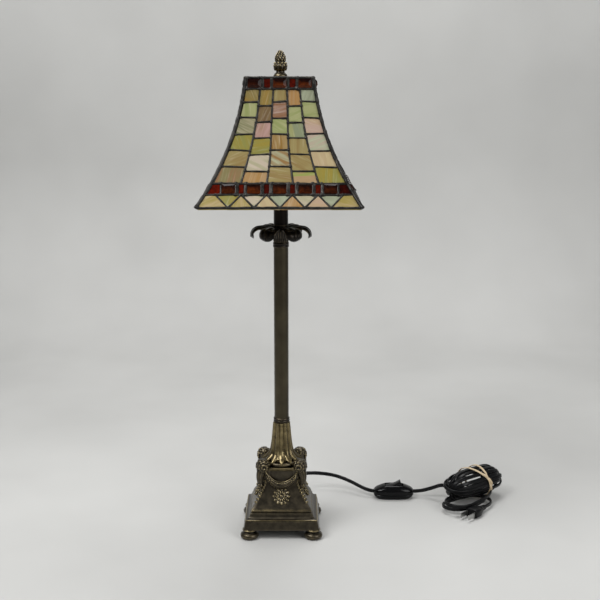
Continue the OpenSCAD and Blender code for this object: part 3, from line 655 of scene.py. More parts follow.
# %% [markdown]
# ## The lead and its bundle
#
# The lead is a flat twin, 5.4 mm wide. It is declared as 2.44 m, a stock length, and the line drawn
# here comes to about 2.66 m. It leaves the back of the base through its strain relief, curves round
# behind the base on its own stiffness, goes through the switch and is wound into a bundle, with the
# plug on its end. The open stretches keep the route of the frame. The bundle is wound by a loop, as a
# lead is wound over a hand: each of the eight upper turns is a long racetrack, a little wider than the
# one before, and its plane turns from one winding to the next. The last two turns drop down and lie
# flat in front of the others.
#
# A flat lead bends the easy way, so it stands on its edge where it curves along the table, and in the
# bundle its flat side faces outwards. That is why the outline is carried along the line ring by ring,
# and isn't left to a round bevel.

# %% Route of the lead
LEAD_WIDE = 5.4
LEAD_THICK = 3.2
lead_route = [(0, 72, 29), (0, 84, 29), (4, 98, 29), (12, 112, 28), (24, 124, 27), (40, 132, 26),
              (58, 135, 24), (75, 133, 22), (90, 127, 19), (103, 118, 16), (114, 109, 13),
              (123, 103, 11), (132, 101, 9.5)]
tail_route = [(190, 101, 9.5), (200, 101, 10), (209, 101, 12), (218, 98, 16), (226, 93, 21),
              (232, 87, 26)]
UPPER_TURNS = 8
LOWER_TURNS = 2
plug_in = PLUG + plug_way * 21
upper_hank = (Vector((252, 76, 26.5)), Vector((299, 110, 26.5)))
lower_start = Vector((247, 48, 15))
lower_hank = (lower_start, lower_start + plug_way * 38 - UP * 2)
upper_planes = (298, 152)   # the plane of a turn, in degrees, over the upper hank
STEPS = 20                  # points in a turn
BEND = 19.3                 # radius of the first turn's ends


def eased(t):
    """A step from 0 to 1 with soft ends."""
    t = min(max(t, 0), 1)
    return t * t * (3 - 2 * t)


def wound(gone):
    """A point of the winding and the way its wide side lies, after that many turns."""
    drop = eased((gone - UPPER_TURNS - 0.08) / 0.6)
    grown = min(gone / UPPER_TURNS, 1)
    bend = (BEND + 1.8 * grown + 0.5 * math.sin(4.3 * gone)) * (1 - drop) + BEND * drop
    start = upper_hank[0].lerp(lower_hank[0], drop)
    end = upper_hank[1].lerp(lower_hank[1], drop)
    along = (end - start).normalized()
    aside = along.cross(UP).normalized()
    run = (end - start).length * (0.84 + 0.14 * grown + 0.02 * math.sin(3.7 * gone))
    lap = 2 * run + math.tau * bend
    s = (gone % 1) * lap
    turn = (s - run) / bend
    back = (s - 2 * run - math.pi * bend) / bend
    if s < run:
        a, b = s - run / 2, bend
    elif turn < math.pi:
        a, b = run / 2 + bend * math.sin(turn), bend * math.cos(turn)
    elif back < 0:
        a, b = -back * bend - run / 2, -bend
    else:
        a, b = -run / 2 - bend * math.sin(back), -bend * math.cos(back)
    plane = upper_planes[0] + (upper_planes[1] - upper_planes[0]) * grown
    plane = math.radians(plane + 4 * math.sin(5.1 * gone) * (1 - drop))
    outward = aside * (math.cos(plane) * (1 - drop) - drop) + UP * (math.sin(plane) * (1 - drop))
    slide = 2.5 * math.sin(2.4 * gone + 1) * (1 - drop) + 3.5 * math.sin(2.9 * gone) * drop
    strayed = aside * (2.6 * math.cos(2.3 * gone) * drop)
    sink = 4.6 * min(max(gone - UPPER_TURNS - 0.4, 0), 2)
    place = (start + end) / 2 + along * (a + slide) + outward * b + strayed - UP * sink
    return place, along.cross(outward).normalized()


# %% Draw the lead
def on_edge(points):
    """Stands the lead on its edge along an open stretch."""
    return [(point, UP.copy()) for point in points]


def even_steps(line, step):
    """The same line and sides with its points an even step apart."""
    even = [line[0]]
    for (a, side_a), (b, side_b) in zip(line, line[1:]):
        count = max(round((b - a).length / step), 1)
        for k in range(1, count + 1):
            even.append((a.lerp(b, k / count), side_a.lerp(side_b, k / count)))
    return even


def relaxed(line, rounds, which=None):
    """Lets the line ease into softer bends, everywhere or only at some of its points."""
    for _ in range(rounds):
        old = list(line)
        for i in which or range(1, len(line) - 1):
            (a, side_a), (b, side_b), (c, side_c) = old[i - 1:i + 2]
            line[i] = ((a + b * 2 + c) / 4, (side_a + side_b * 2 + side_c).normalized())
    return line


def swept(bm, line, outline, closed=False):
    """Carries an outline along a line of (place, side) pairs, and bridges ring to ring."""
    rings = []
    last = len(line) - 1
    for i, (place, side) in enumerate(line):
        before = line[i - 1][0] if i or closed else place
        after = line[(i + 1) % len(line)][0] if i < last or closed else place
        ahead = (after - before).normalized()
        side = (side - ahead * side.dot(ahead)).normalized()
        flat = ahead.cross(side)
        ring = bmesh.ops.create_circle(bm, segments=len(outline), radius=1,
                                       cap_ends=not closed and i in (0, last))["verts"]
        for vert, (wide, thick) in zip(ring, outline):
            vert.co = place + side * wide + flat * thick
        rings.append([bm.edges.get((ring[k - 1], ring[k])) for k in range(len(ring))])
    pairs = list(zip(rings, rings[1:])) + ([(rings[-1], rings[0])] if closed else [])
    for one, other in pairs:
        bmesh.ops.bridge_loops(bm, edges=one + other)


def twin_outline(wide, thick, sides=14):
    """Two wires side by side in one skin: an oval with a shallow groove along its middle."""
    points = []
    for k in range(sides):
        angle = math.tau * (k + 0.5) / sides
        across = wide / 2 * math.cos(angle)
        groove = 1 - 0.3 * math.exp(-(across / (wide * 0.13)) ** 2)
        rise = math.copysign(abs(math.sin(angle)) ** 0.75, math.sin(angle))
        points.append((across, thick / 2 * rise * groove))
    return points


turns = [wound(k / STEPS) for k in range(round((UPPER_TURNS + LOWER_TURNS) * STEPS) + 5)]

# The last bend swings from the far side of the flat turns to the plug
low_aside = plug_way.cross(UP)
last_place = turns[-1][0]
across = (plug_in - last_place).dot(low_aside)
swing = smooth_line([last_place - plug_way * 8, last_place]
                    + [last_place + low_aside * (across / 2 * (1 - math.cos(math.radians(a))))
                       + plug_way * (across * 0.52 * math.sin(math.radians(a)))
                       + UP * ((plug_in.z - last_place.z) * a / 180) for a in range(30, 180, 30)]
                    + [last_place + low_aside * across + UP * (plug_in.z - last_place.z), plug_in,
                       plug_in - plug_way * 7], 4)[5:]

line = on_edge(smooth_line(lead_route, 4))
line += on_edge(smooth_line(tail_route, 4))
line += on_edge(smooth_line([tail_route[-2], tail_route[-1], turns[0][0], turns[1][0]], 5)[6:10])
line += turns
line += on_edge(swing)
line = relaxed(even_steps(line, 3.2), 5)
for gone in (0.02, UPPER_TURNS + 0.12, UPPER_TURNS + 0.3):
    joint = wound(gone)[0]
    at = min(range(len(line)), key=lambda i: (line[i][0] - joint).length)
    for reach in (20, 17, 14, 11, 8):
        relaxed(line, 5, range(at - reach, at + reach))

bm = bmesh.new()
swept(bm, line, twin_outline(LEAD_WIDE, LEAD_THICK))
lead = finish_piece("lead", bm, cord_vinyl, sharp=60,
                    stands_for=("lead_tube", "tail_tube", "bundle_upper", "bundle_lower"))
lead_long = sum((b[0] - a[0]).length for a, b in zip(line, line[1:]))
print("lead, mm:", round(lead_long), "lowest, mm:", round(min(p.z for p, _ in line), 1))

# %% [markdown]
# ## Rubber band
#
# A rubber band is looped twice round the hank. Where the two strands lie apart they slant over the
# hank, and down its front they cross and twist round each other. It is one closed line, carried twice
# round, with a flat outline that turns as it goes.

# %% Rubber band
hank_along = (upper_hank[1] - upper_hank[0]).normalized()
hank_aside = hank_along.cross(UP).normalized()
hank_middle = (upper_hank[0] + upper_hank[1]) / 2
SLANTS = ((13, 9, 8, 8, 6, 10, 15, 13), (13, 4, -8, -13, -6, 6, 15, 13))
AT = (0, 40, 80, 110, 180, 250, 300, 360)
band_line = []
for k in range(240):
    angle = 3 * k
    lap, here = divmod(angle, 360)
    together = eased((here - 280) / 25) + 1 - eased((here - 25) / 30)
    twist = math.radians(7 * here + 180 * lap)
    slant = float(np.interp(here, AT, SLANTS[lap])) + 1.1 * together * math.cos(twist)
    reach = 23.2 + 0.9 * together * math.sin(twist) + 0.3 * math.sin(5 * math.radians(angle))
    round_way = hank_aside * math.cos(math.radians(angle)) + UP * math.sin(math.radians(angle))
    place = hank_middle + hank_along * slant + round_way * reach
    band_line.append((place, (hank_along + round_way * together * math.sin(twist)).normalized()))
bm = bmesh.new()
swept(bm, band_line, [(1.8 * math.cos(math.tau * k / 10), 0.8 * math.sin(math.tau * k / 10))
                      for k in range(10)], closed=True)
band = finish_piece("rubber_band_looped", bm, natural_rubber, sharp=70,
                    stands_for=["rubber_band"])

# %% [markdown]
# ## The shade: the form of one side
#
# The shade is square, and each side is one curved sheet: straight across and hollow from top to
# bottom. A glazier works over a form of that shape. Here the form is an arc worked out from the
# frame's rims, and every piece of glass and every bead of solder is placed on it by how far it lies
# from the middle line, how far it lies below the top edge, and how far it stands out.

# %% Form of the shade
rim_low, rim_high = box_mm("rim_wires")
TOP_HALF = 42.2      # half the width over the top edge
SHADE_BOW = 11.0     # how far a side is hollow
LOW_HALF = 101.6
shade_tall = rim_high.z - rim_low.z
side_run = LOW_HALF - TOP_HALF
side_long = math.hypot(side_run, shade_tall)
arc_r = side_long ** 2 / (8 * SHADE_BOW) + SHADE_BOW / 2
arc_out = (LOW_HALF + TOP_HALF) / 2 + (arc_r - SHADE_BOW) * shade_tall / side_long
arc_up = (rim_low.z + rim_high.z) / 2 + (arc_r - SHADE_BOW) * side_run / side_long


def half_at(depth):
    """Half the width of the shade at a depth below its top edge."""
    return arc_out - math.sqrt(arc_r ** 2 - (rim_high.z - depth - arc_up) ** 2)


def on_side(x, depth, out=0.0, side=0):
    """A place on a side of the shade: sides 0 to 3 are the front, right, back and left."""
    half = half_at(depth)
    tilt = Vector((0, -(arc_out - half), arc_up - rim_high.z + depth)) / arc_r
    place = Vector((x, -half, rim_high.z - depth)) + tilt * out
    return rotation(90 * side, "Z", 3) @ place


print("shade, mm:", 2 * LOW_HALF, "wide,", round(shade_tall, 1), "tall, arc", round(arc_r, 1))

# %% [markdown]
# ## Leadwork pattern
#
# Under a border of faceted jewels and red bars there are five columns of plain pieces, the even
# columns set half a step lower. A second border of jewels and a zigzag skirt close the side. Every
# seam is drawn a little crooked, as hand-cut glass makes it. The four sides share one pattern, and
# each has its own crookedness from its own seed.

# %% Pattern of a side
BORDERS = ((2.2, 15.0, 3), (127.3, 140.0, 5))  # depths of the two borders, and their jewels
FIELD_TOP, FIELD_END = 15.0, 127.3
SKIRT_TOP, SKIRT_END = 140.0, 154.6
ROW_STEP = 19.35
FIRST_ROW = (15.6, 20.5)
COLUMNS = (-1, -0.59, -0.195, 0.195, 0.59, 1)
PITCH = 31.0         # from jewel to jewel, and from tip to tip of the skirt
JEWEL_WIDE = 16.4
EDGE_IN = 3.2


def right_way(corners, kept):
    """Four corners in the order of a grid's: kept, or swapped left for right."""
    return corners if kept else [corners[k] for k in (1, 0, 3, 2)]


def side_pattern(side):
    """The seams and glass pieces of a side: (points, thickness) and (kind, corners, place)."""
    chance = random.Random(40 + side)
    seams = []
    pieces = []

    def crooked(amount):
        return chance.uniform(-amount, amount)

    # Upright seams between the columns
    depths = [FIELD_TOP + (FIELD_END - FIELD_TOP) * k / 12 for k in range(13)]
    uprights = []
    for i, share in enumerate(COLUMNS):
        sway = crooked(0.9) if abs(share) < 1 else 0
        uprights.append([share * (half_at(d) - EDGE_IN) + sway * math.sin(d / 17 + i)
                         for d in depths])
        if abs(share) < 1:
            seams.append((list(zip(uprights[-1], depths)), 1.5))

    def edge_point(i, depth):
        return float(np.interp(depth, depths, uprights[i])), depth

    # Level seams and the pieces between them, column by column
    for i in range(5):
        above = (FIELD_TOP, FIELD_TOP)
        for k in range(6):
            below = (FIELD_END, FIELD_END)
            if k < 5:
                level = FIELD_TOP + FIRST_ROW[i % 2] + ROW_STEP * k
                below = (level + crooked(0.8), level + crooked(0.8))
                seams.append(([edge_point(i, below[0]), edge_point(i + 1, below[1])], 1.4))
            pieces.append(("plain", [edge_point(i, above[0]), edge_point(i + 1, above[1]),
                                     edge_point(i + 1, below[1]), edge_point(i, below[0])],
                           6 * i + k))
            above = below

    # Long seams along the borders
    for depth in (FIELD_TOP, FIELD_END, SKIRT_TOP):
        reach = half_at(depth) - 1
        seams.append(([(reach * (k / 4 - 1), depth + crooked(0.3)) for k in range(9)], 1.7))

    # Jewels and bars of the two borders
    for top, end, count in BORDERS:
        for k in range(count):
            x = (k - (count - 1) / 2) * PITCH + crooked(0.3)
            half = JEWEL_WIDE / 2
            pieces.append(("jewel", [(x - half, top + 1), (x + half, top + 1),
                                     (x + half, end - 1), (x - half, end - 1)], k))
            for way in (-1, 1):
                edge = x + way * (half + 0.9)
                if abs(edge) < half_at(top) - 2:
                    seams.append(([(edge, top), (edge + crooked(0.4), end)], 1.9))
            if k < count - 1:
                x += PITCH / 2
                bar = 3.9 if count == 3 else 3.3
                pieces.append(("bar", [(x - bar, top), (x + bar, top), (x + bar, end),
                                       (x - bar, end)], k))
                for way in (-1, 1):
                    seams.append(([(x + way * (bar + 1), top), (x + way * (bar + 1), end)], 1.6))
    for way in (-1, 1):
        inner = way * (2 * PITCH + JEWEL_WIDE / 2 + 1)
        corners = [(inner, FIELD_END), (way * (half_at(FIELD_END) - 3), FIELD_END),
                   (way * (half_at(SKIRT_TOP) - 3), SKIRT_TOP), (inner, SKIRT_TOP)]
        pieces.append(("bar", right_way(corners, way > 0), way))

    # Zigzag skirt: the seams run down to a tip and up again
    tips = [((k - 5) * PITCH / 2 + crooked(0.4), SKIRT_END if k % 2 else SKIRT_TOP)
            for k in range(11)]
    for k in range(10):
        seams.append(([tips[k], tips[k + 1]], 1.4))
    for k in range(9):
        left, tip, right = tips[k], tips[k + 1], tips[k + 2]
        narrow = [(tip[0] - 0.6, tip[1]), (tip[0] + 0.6, tip[1])]
        corners = [left, right, narrow[1], narrow[0]] if k % 2 == 0 else [*narrow, right, left]
        pieces.append(("plain", corners, 31 + k))
    for way, end, place in ((-1, tips[0], 30), (1, tips[10], 40)):
        tip = tips[1] if way < 0 else tips[9]
        outer, low = [(way * (half_at(d) - 2), d) for d in (SKIRT_TOP, SKIRT_END)]
        pieces.append(("plain", right_way([outer, end, tip, low], way < 0), place))
    return seams, pieces


patterns = [side_pattern(side) for side in range(4)]
print("seams and pieces of a side:", len(patterns[0][0]), len(patterns[0][1]))

# %% [markdown]
# ## Opalescent glass pieces
#
# Each piece is a flat cut from a sheet, bent here only as much as the form asks. A grid is laid over
# its four corners, so that piece is one surface with even cells, and is then thickened to 2.6 mm.
# Its edges end under the solder. No piece lies quite true: each is tipped by a fraction of a
# millimetre, which is what makes neighbouring pieces catch the light differently. The sheet's
# streaks get their own direction and place for each piece.

# %% Plain glass
GLASS_DEPTH = 0.8    # how much light the unlit glass gives back
GLASS_THICK = 2.6
GLASS = {  # the two melts of each sheet
    "amber": ("#92793f", "#7f7448"), "lime": ("#8f9660", "#a2a374"), "moss": ("#6f7350", "#a39a7c"),
    "olive": ("#93843b", "#85854a"), "tan": ("#968758", "#8b7448"), "russet": ("#8a6a4a", "#7d7850"),
    "umber": ("#70593f", "#7d6a48"), "rose": ("#b29088", "#9a7d66"), "cream": ("#bcae9a", "#a6a282"),
    "honey": ("#a98a62", "#a07a44"), "clay": ("#8a6448", "#a58c80"), "toffee": ("#8c6a34", "#a0895e"),
    "split": ("#a8a98a", "#8a5f2a"), "peach": ("#b0987c", "#a2783e"), "sage": ("#858c6e", "#9a9a66"),
    "mist": ("#8d9078", "#9fa58c"), "blush": ("#b39a7c", "#b79d90"), "shell": ("#a8ac90", "#b89e90"),
    "sand": ("#b8a680", "#b09a78"), "meadow": ("#a88c68", "#8f9c50"), "straw": ("#9a8a4c", "#b09c74"),
}
FRONT_SHEETS = (  # the field by columns, then the skirt from left to right
    "amber lime moss olive tan russet "
    "amber umber rose olive cream honey "
    "tan clay lime toffee split tan "
    "peach lime sage tan tan meadow "
    "mist lime blush shell sand olive "
    "straw olive straw cream sand mist honey cream blush mist straw").split()


def laid_piece(bm, corners, side, seats):
    """A grid over four corners of a side, following the form; seats are its corner heights."""
    grid = bmesh.ops.create_grid(bm, x_segments=6, y_segments=6, size=0.5)["verts"]
    for vert in grid:
        s, t = vert.co.x + 0.5, 0.5 - vert.co.y
        weights = ((1 - s) * (1 - t), s * (1 - t), s * t, (1 - s) * t)
        x = sum(w * c[0] for w, c in zip(weights, corners))
        depth = sum(w * c[1] for w, c in zip(weights, corners))
        out = sum(w * h for w, h in zip(weights, seats))
        vert.co = on_side(x, depth, out, side)
    return grid


def plain_glass():
    """Every plain piece of the four sides as one bmesh, with its sheet map and melts."""
    bm = bmesh.new()
    sheet = bm.loops.layers.uv.new("sheet")
    melt = bm.verts.layers.float_color.new("melt")
    streak = bm.verts.layers.float_color.new("streak")
    for side, (_, pieces) in enumerate(patterns):
        chance = random.Random(70 + side)
        sheets = list(FRONT_SHEETS)
        if side:
            chance.shuffle(sheets)
        for kind, corners, place in pieces:
            if kind != "plain":
                continue
            seats = [-0.75 + chance.uniform(-0.3, 0.3) for _ in range(4)]
            grid = laid_piece(bm, corners, side, seats)
            faces = faces_at(grid)
            solid = bmesh.ops.solidify(bm, geom=faces, thickness=GLASS_THICK)["geom"]
            faces += only(BMFace, solid)
            turn = Matrix.Rotation(chance.choice((0, 1.57)) + chance.uniform(-0.5, 0.5), 2)
            shift = Vector((chance.uniform(0, 3), chance.uniform(0, 3)))
            first, second = GLASS[sheets[place]]
            back = rotation(-90 * side, "Z", 3)
            for face in set(faces):
                for loop in face.loops:
                    flat = back @ loop.vert.co
                    loop[sheet].uv = turn @ (Vector((flat.x, flat.z)) * MM) + shift
                    loop.vert[melt] = Vector(colour(first)) * GLASS_DEPTH
                    loop.vert[streak] = Vector(colour(second)) * GLASS_DEPTH
    return bm


finish_piece("glass_panes", plain_glass(), opal_glass, body="shade", sharp=30,
             stands_for=["glass_front", "glass_right", "glass_back", "glass_left", "skirt_glass"])

# %% [markdown]
# ## Jewels and red bars
#
# A jewel is pressed glass with a low pyramid cut off to a narrow level table: one face lifted three
# times, to the solder, to the girdle and to the table, which stands 3 mm out. Its facets stay sharp.
# The lower facets get a painted glow of the light from behind, stored on their points.
# The bars between the jewels are flat strips of red glass, made as the plain pieces are.

# %% Red glass
def add_jewel(bm, layer, corners, side, warm):
    """A pressed jewel: one face lifted three times, drawn in to the girdle and to the table."""
    x, depth = (sum(c[k] for c in corners) / 4 for k in (0, 1))
    half = (corners[1][0] - corners[0][0]) / 2
    tall = (corners[2][1] - corners[1][1]) / 2
    verts = bmesh.ops.create_grid(bm, x_segments=1, y_segments=1, size=1)["verts"]
    faces = faces_at(verts)
    base = {vert: (vert.co.x, -vert.co.y) for vert in verts}
    for share_x, share_y, out in ((1, 1, 0.7), (0.95, 0.9, 1.0), (0.56, 0.4, 3.0)):
        raised = bmesh.ops.extrude_face_region(bm, geom=faces)["geom"]
        top = only(BMVert, raised)
        for vert in top:
            way = min(base, key=lambda v: (v.co - vert.co).length)
            base[vert] = base[way]
        bmesh.ops.delete(bm, geom=faces, context="FACES_KEEP_BOUNDARY")
        faces = only(BMFace, raised)
        for vert in top:
            across, down = base[vert]
            vert.co = on_side(x + across * half * share_x, depth + down * tall * share_y, out, side)
            # Painted glow of light from behind: lower facets lighter by the piece's random amount, upper
            # facets dark.
            vert[layer] = warm if down > 0 else 0.12
    for vert in verts:
        across, down = base[vert]
        vert.co = on_side(x + across * half, depth + down * tall, -GLASS_THICK, side)
    bmesh.ops.holes_fill(bm, edges=[e for e in bm.edges if e.is_boundary], sides=4)


def red_pieces(kind):
    """All jewels or all bars of the four sides as one bmesh."""
    bm = bmesh.new()
    backlight_glow_and_tone = bm.verts.layers.float.new("backlight_glow_and_tone")
    for side, (_, pieces) in enumerate(patterns):
        chance = random.Random(90 + side)
        for name, corners, _ in pieces:
            warm = chance.uniform(0.25, 1)
            if name == "jewel" and kind == "jewel":
                add_jewel(bm, backlight_glow_and_tone, corners, side, warm)
            elif name == "bar" and kind == "bar":
                grid = laid_piece(bm, corners, side, [-0.7 + chance.uniform(-0.2, 0.2)] * 4)
                bmesh.ops.solidify(bm, geom=faces_at(grid), thickness=GLASS_THICK)
                for vert in grid:
                    vert[backlight_glow_and_tone] = 0.6 * warm
    return bm


finish_piece("glass_jewels", red_pieces("jewel"), jewel_glass, body="shade",
             stands_for=["jewels"], sharp=8)
finish_piece("glass_bars", red_pieces("bar"), red_glass, body="shade",
             stands_for=["red_bars"], sharp=30)

# %% [markdown]
# ## Solder beads
#
# Copper foil seams are run over with solder, which stands up as a bead and pools where seams meet.
# Each seam is a row of short rods, wider here and narrower there, and the whole side is melted
# together by a voxel remesh, which rounds every joint as surface tension does. The corner seams are
# the heavier ones, built up in lumps, and the two rims are wires run over with solder.

# %% Solder of the sides
def seam_rod(points, thick, side, out, chance):
    """One seam of a side as rod stations, with the bead's width wandering a little."""
    stations = []
    for (x0, d0), (x1, d1) in zip(points, points[1:]):
        steps = max(2, round(math.hypot(x1 - x0, d1 - d0) / 3.5))
        for k in range(steps):
            share = k / steps
            spot = on_side(x0 + (x1 - x0) * share, d0 + (d1 - d0) * share, out, side)
            stations.append((spot, thick * chance.uniform(0.86, 1.14)))
    x, depth = points[-1]
    stations.append((on_side(x, depth, out, side), thick))
    return stations


SIDE_NAMES = ("front", "right", "back", "left")
SOLDER_VOXEL = 0.62  # fine enough to keep a bead 2.8 mm wide round
for side, (seams, _) in enumerate(patterns):
    chance = random.Random(20 + side)
    bm = bmesh.new()
    for points, thick in seams:
        add_rods(bm, [seam_rod(points, thick, side, -0.9, chance)], sides=7)
        add_rods(bm, [seam_rod(points, thick * 0.75, side, -2.9, chance)], sides=6)
        for x, depth in (points[0], points[-1]):
            if chance.random() < 0.6:
                add_lump(bm, on_side(x, depth, -0.7, side), (thick * 1.35,) * 3, rings=6)
    melted(bm, SOLDER_VOXEL)
    finish_piece(f"solder_{SIDE_NAMES[side]}", bm, solder, body="shade",
                 stands_for=[f"came_{SIDE_NAMES[side]}"], sharp=180)

# %% Corner seams and rims
bm = bmesh.new()
chance = random.Random(31)
rods = []
for side in range(4):
    rods.append([])
    for k in range(53):
        depth = 0.6 + (shade_tall - 1.6) * k / 52
        thick = 2.25 * chance.uniform(0.84, 1.14) + (0.35 if k % 7 == 3 else 0)
        rods[-1].append((on_side(half_at(depth) - 0.9, depth, 0, side), thick))
for depth, thick in ((1.7, 1.6), (shade_tall - 1.8, 1.5)):
    for side in range(4):
        reach = half_at(depth) - 1
        rods.append([(on_side(reach * (k / 15 - 1), depth + chance.uniform(-0.25, 0.25), -0.6, side),
                      thick * chance.uniform(0.85, 1.15)) for k in range(31)])
        rods.append([(on_side(reach * (k / 15 - 1), depth, -2.2, side), thick) for k in range(31)])
add_rods(bm, rods, sides=8)
for side in range(4):
    add_lump(bm, on_side(half_at(shade_tall) - 1.8, shade_tall - 2.2, 0, side), (2.6, 2.6, 2.2), rings=8)
melted(bm, SOLDER_VOXEL)
finish_piece("corner_solder", bm, solder, body="shade",
             stands_for=["corner_seams", "rim_wires"], sharp=180)

# %% [markdown]
# ## Feet and plinth
#
# The base is a square block with a step and a bead, on four turned feet. The feet come off a lathe.
# The square mouldings could be planed bars, mitred, but here they are one casting, so one square ring
# is drawn up through the outline of the moulding. Its corners are rubbed and the outline is
# subdivided, because the finish's rubbed edges and painted shade are found from the mesh.

# %% Outlines and castings
# Heights at which the castings start, in millimetres from the table up
PLINTH_LOW = 13
PEDESTAL_LOW = 38
SAUCER_LOW = 91
CUP_LOW = 97
COLLAR_LOW = 148
UPPER_COLLAR_LOW = 385
CAPITAL_LOW = 392
FINIAL_LOW = 600.7


def fine_outline(points, step=1.2, round_by=0.5):
    """An outline with its corners rounded a little and no stretch longer than the step."""
    points = [Vector(p) for p in points]
    corners = [points[0]]
    for a, b, c in zip(points, points[1:], points[2:]):
        for other in (a, c):
            corners.append(b + (other - b).normalized() * min(round_by, (other - b).length / 2.2))
    corners.append(points[-1])
    line = []
    for a, b in zip(corners, corners[1:]):
        parts = max(1, math.ceil((b - a).length / step))
        line += [a.lerp(b, k / parts) for k in range(parts)]
    return line + [corners[-1]]


def squared(bm, outline, around=240, rub=0.7):
    """Draws a square ring up through an outline of (half width, height) points and closes the ends."""
    def place(c, s, half, height):
        far, near = max(abs(c), abs(s)), min(abs(c), abs(s))
        reach = half / far - rub * max(0, near / far - 0.9) * 10
        return (c * reach, s * reach, height)

    drawn_up(bm, outline, around, place)


def casting(name, bm, node, copies=4, body="root"):
    """Copies a melted shape round and finishes it as one bronze casting, with rubbed edges and painted
    shade.
    """
    copied_round(bm, copies)
    finish_piece(name, bm, antique_bronze, body, [node], rubbing_and_shade=1, sharp=180)


def spun_piece(name, outline, material, node, z=0.0, steps=64, body="root"):
    """A turned piece with its bronze finish, rubbed on the edges and with painted shade in its creases.
    """
    bm = bmesh.new()
    turned(bm, fine_outline(outline, 0.8, 0.3), z, steps)
    finish_piece(name, bm, material, body, [node], rubbing_and_shade=1, sharp=50)


# %% Feet and plinth
FOOT_AT = 42.3       # a foot's middle, along X and along Y
bm = bmesh.new()
turned(bm, fine_outline(
    [(0, 0), (8, 0), (11.5, 1.6), (12.5, 4.5), (11.6, 7), (9.2, 8.6), (7.6, 9.6), (7.6, 10.4),
     (9.6, 11.4), (9.6, 13.2), (0, 13.2)], 0.9, 0.3), 0, 48)
moved(bm, (FOOT_AT, FOOT_AT, 0))
copied_round(bm, 4)
finish_piece("feet_turned", bm, antique_bronze, stands_for=["feet"], rubbing_and_shade=1)

cavetto = [(48 - 6 * math.sin(math.radians(a)), 26.5 + 6.5 * (1 - math.cos(math.radians(a))))
           for a in range(0, 91, 15)]
bead = arc((39.2, 36), (1.3, 2), -90, 91, 30)
bm = bmesh.new()
squared(bm, fine_outline([(40, PLINTH_LOW), (50.5, PLINTH_LOW), (50.2, 15), (48.3, 25),
                          (48, 25.4), (48, 26.2)]
                         + cavetto + [(41, 34)] + bead + [(36, PEDESTAL_LOW)], 1.3))
finish_piece("plinth_cast", bm, antique_bronze, stands_for=["plinth"], rubbing_and_shade=0.5)

# %% [markdown]
# ## Pedestal
#
# The pedestal sweeps in from the plinth to a square neck with a moulded slab over it. It is drawn as
# the plinth is. Near the top of each face there is a shallow smooth panel. The upper slab carries the
# saucer of the column.

# %% Pedestal
NECK_HALF = 23.5
FLARE = 16.5         # how far the sweep spreads beyond the neck
SWEEP_TALL = 34
PANEL_HALF = 15.5
PANEL_LOW, PANEL_HIGH = 72, 87


def flare_at(height):
    """Half the pedestal's width at a height: it sweeps in over 34 mm and then runs up straight."""
    gone = min(1, max(0, (height - PEDESTAL_LOW) / SWEEP_TALL))
    return NECK_HALF + FLARE * (1 - gone) ** 1.4


bm = bmesh.new()
levels = [PEDESTAL_LOW + SWEEP_TALL * k / 16 for k in range(17)]
squared(bm, fine_outline([(36, PEDESTAL_LOW)] + [(flare_at(z), z) for z in levels]
                         + [(NECK_HALF, 88)] + arc((23, 89.5), (1.6, 1.5), -90, 91, 30)
                         + [(12, SAUCER_LOW)], 1.3))
for vert in bm.verts:
    x, y, z = vert.co
    across, reach = sorted((abs(x), abs(y)))
    if across < PANEL_HALF and PANEL_LOW < z < PANEL_HIGH and reach > 20:
        depth = 1.1 * min(1, (PANEL_HALF - across) / 0.8) * min(1, PANEL_HIGH - z, z - PANEL_LOW)
        side = Vector((x, 0, 0)) if abs(x) > abs(y) else Vector((0, y, 0))
        vert.co -= side.normalized() * depth
finish_piece("pedestal_cast", bm, antique_bronze, stands_for=["pedestal"],
             rubbing_and_shade=0.6)

# %% [markdown]
# ## Rams' heads
#
# A ram's head looks out over each corner. A modeller builds such a head up in wax: a skull, a muzzle
# bent down along the corner, a brow, wool, and horns rolled round like a rope. The same lumps and
# rods are set here for one head and melted together, and that head is copied round to the four
# corners. Each horn is a coil that comes from behind the brow, with ridges across it, and its
# curl ends in the middle of the spiral.

# %% Ram's head
bm = bmesh.new()
HEAD = rotation(-45, "Z", 3)  # x looks out over the front right corner


def head_point(out, side, height):
    """A place on the head: out along the corner's diagonal, to its side, and up."""
    return HEAD @ Vector((out, side, height))


def head_turn(pitch):
    """The turn of a lump whose long way leans by that pitch over the corner's diagonal."""
    return (HEAD @ rotation(pitch, "Y", 3)).to_4x4()


